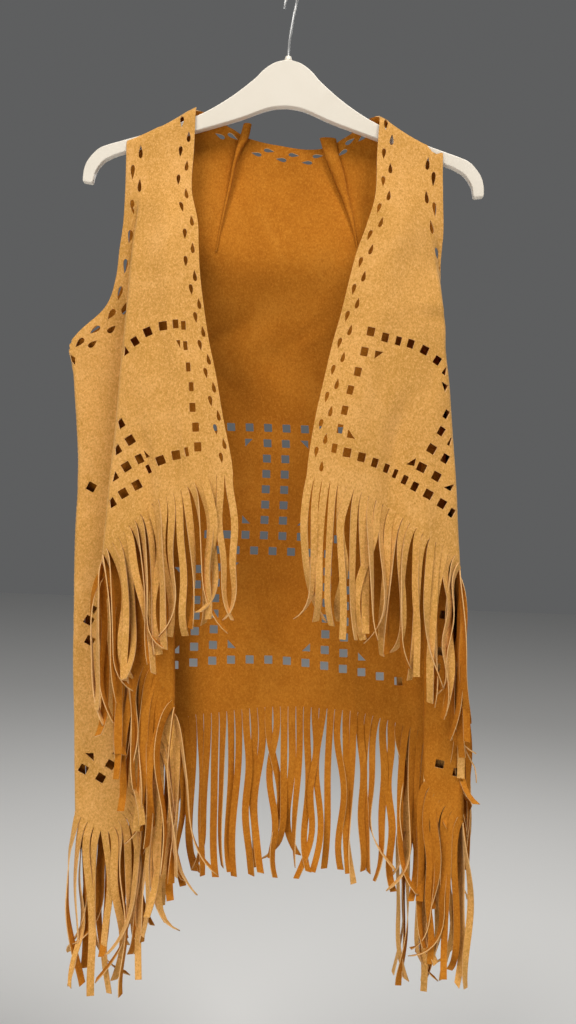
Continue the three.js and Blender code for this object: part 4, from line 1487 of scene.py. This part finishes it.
def wire_tree():
    """Turns a chain of points into a round wire."""
    words, given, out = group("round_wire", [
        ("Path", "Geometry", None), ("Radius", "Float", 1.5 * MM), ("Look", "Material", None)],
        [("Wire", "Geometry")], "Geometry")
    ring = words.add("GeometryNodeCurvePrimitiveCircle")
    ring.inputs["Resolution"].default_value = 18
    words.link(given["Radius"], ring.inputs["Radius"])
    wire = words.sweep(given["Path"], ring.outputs["Curve"])
    words.link(words.look(wire, given["Look"]), out["Wire"])
    return words.tree


def make_hook():
    """The bent wire hook, turned on its swivel."""
    swivel = math.radians(HOOK["swivel"])
    outwards = Vector((math.cos(swivel), -math.sin(swivel), 0))
    bends = [Vector((0, 0, HOOK["foot_z"])), Vector((0, 0, HOOK["foot_z"] + 14)),
             outwards * 4 + Vector((0, 0, -52))]
    for angle in range(-50, 178, 12):
        turn = math.radians(angle)
        bends.append(outwards * HOOK["bend"] * math.cos(turn)
                     + Vector((0, 0, HOOK["centre_z"] + HOOK["bend"] * math.sin(turn))))
    points = [point * MM for point in curve_through(bends)]
    piece = mesh_object("hook_wire", points, [], edges=[(k, k + 1) for k in range(len(points) - 1)])
    shaped_by(piece, wire_tree(), Radius=HOOK["wire"] * MM, Look=HOOK_STEEL)
    smoothed(piece.data, 60)
    return piece


# ---------- everything in place ----------
def reach_front(u):
    """The strands of a front grow longer towards its side."""
    return FRINGE_FRONT + (FRINGE_SIDE - FRINGE_FRONT) * smooth(u, 90, 240)


def reach_back(_):
    return FRINGE_SIDE


def lean_right(u):
    """By the right opening edge the strands carry on its slant; at the folds they draw together."""
    fold = smooth(u, 70, 110) * (1 - smooth(u, 160, 200))
    return 0.1 * (1 - smooth(u, 10, 80)) + 0.09 * fold + 0.05 * smooth(u, 290, 345)


cloth, cloth_area = make_vest_cloth()
fringes = [make_fringe("front_right", 11, reach_front, lean_right),
           make_fringe("front_left", 23, reach_front),
           make_fringe("back", 37, reach_back)]
darts = [make_dart("dart_ridge_right", DART_RIGHT_ROWS), make_dart("dart_ridge_left", DART_LEFT_ROWS)]
hanger = make_hanger()
collar = make_collar()
hook = make_hook()

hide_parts("front_right", "front_left", "back")
for piece, node in zip(fringes, ("fringe_front_right", "fringe_front_left", "fringe_back")):
    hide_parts(node)
for piece, node in zip(darts, ("dart_right", "dart_left")):
    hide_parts(node)
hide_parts("hanger")
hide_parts("hanger_collar")
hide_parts("hook")
for piece in (cloth, *fringes, *darts, hanger, collar, hook):
    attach(piece, "root")


# ---------- floor, light and camera, in metres ----------
FLOOR = {"half": 9.0, "z": -1.5}
LIGHT_COLUMNS = ("name", "place", "size", "power", "colour")
LIGHT_ROWS = [
    ("right key", (1.35, -2.0, 3.0), 1.2, 120.0, (1.0, 0.98, 0.95)),
    ("left key", (-1.1, -2.0, 3.0), 1.2, 90.0, (1.0, 0.97, 0.93)),
    ("front", (-1.1, -1.7, -1.25), 1.2, 18.0, (1.0, 0.98, 0.96)),
    ("rear", (0.4, 1.9, 0.9), 1.6, 14.0, (1.0, 1.0, 1.0)),
]
LIT_POINT = Vector((0.0, 0.0, -0.5))  # what the lights are turned to
ROOM_LIGHT = {"colour": (0.80, 0.81, 0.82, 1), "strength": 0.14}
CAMERA = {"place": (0.0183, -1.05, -0.5617), "roll": 2.2, "lens": 34.5}  # looks straight along y


def make_floor():
    half, z = FLOOR["half"], FLOOR["z"]
    corners = [(-half, -half, z), (half, -half, z), (half, half, z), (-half, half, z)]
    floor = mesh_object("floor", corners, [(0, 1, 2, 3)])
    look = bpy.data.materials.new("pale_floor")
    look.use_nodes = True
    shader = look.node_tree.nodes["Principled BSDF"]
    shader.inputs["Base Color"].default_value = (0.78, 0.78, 0.77, 1)
    shader.inputs["Roughness"].default_value = 0.8
    floor.data.materials.append(look)


def add_light(name, place, size, power, colour):
    data = bpy.data.lights.new(name, "AREA")
    data.shape = "SQUARE"
    data.size = size
    data.energy = power
    data.color = colour
    light = bpy.data.objects.new(name, data)
    light.location = place
    light.rotation_euler = (LIT_POINT - Vector(place)).to_track_quat("-Z", "Y").to_euler()
    bpy.context.scene.collection.objects.link(light)


def make_room_light():
    world = bpy.data.worlds.new("soft_room")
    world.use_nodes = True
    background = world.node_tree.nodes["Background"]
    background.inputs["Color"].default_value = ROOM_LIGHT["colour"]
    background.inputs["Strength"].default_value = ROOM_LIGHT["strength"]
    bpy.context.scene.world = world


def make_camera():
    data = bpy.data.cameras.new("camera")
    data.lens = CAMERA["lens"]
    data.sensor_width = 36.0
    data.sensor_fit = "AUTO"
    data.clip_start = 0.01
    camera = bpy.data.objects.new("camera", data)
    level = Matrix.Translation(CAMERA["place"]) @ Matrix.Rotation(-math.radians(CAMERA["roll"]), 4, "Y")
    camera.matrix_world = level @ Matrix.Rotation(math.radians(90), 4, "X")
    bpy.context.scene.collection.objects.link(camera)
    bpy.context.scene.camera = camera


make_floor()
make_room_light()
for row in LIGHT_ROWS:
    add_light(**dict(zip(LIGHT_COLUMNS, row)))
make_camera()
bpy.context.scene.view_settings.view_transform = "Standard"

# ---------- the scene brought up to date --------
bpy.context.view_layer.update()
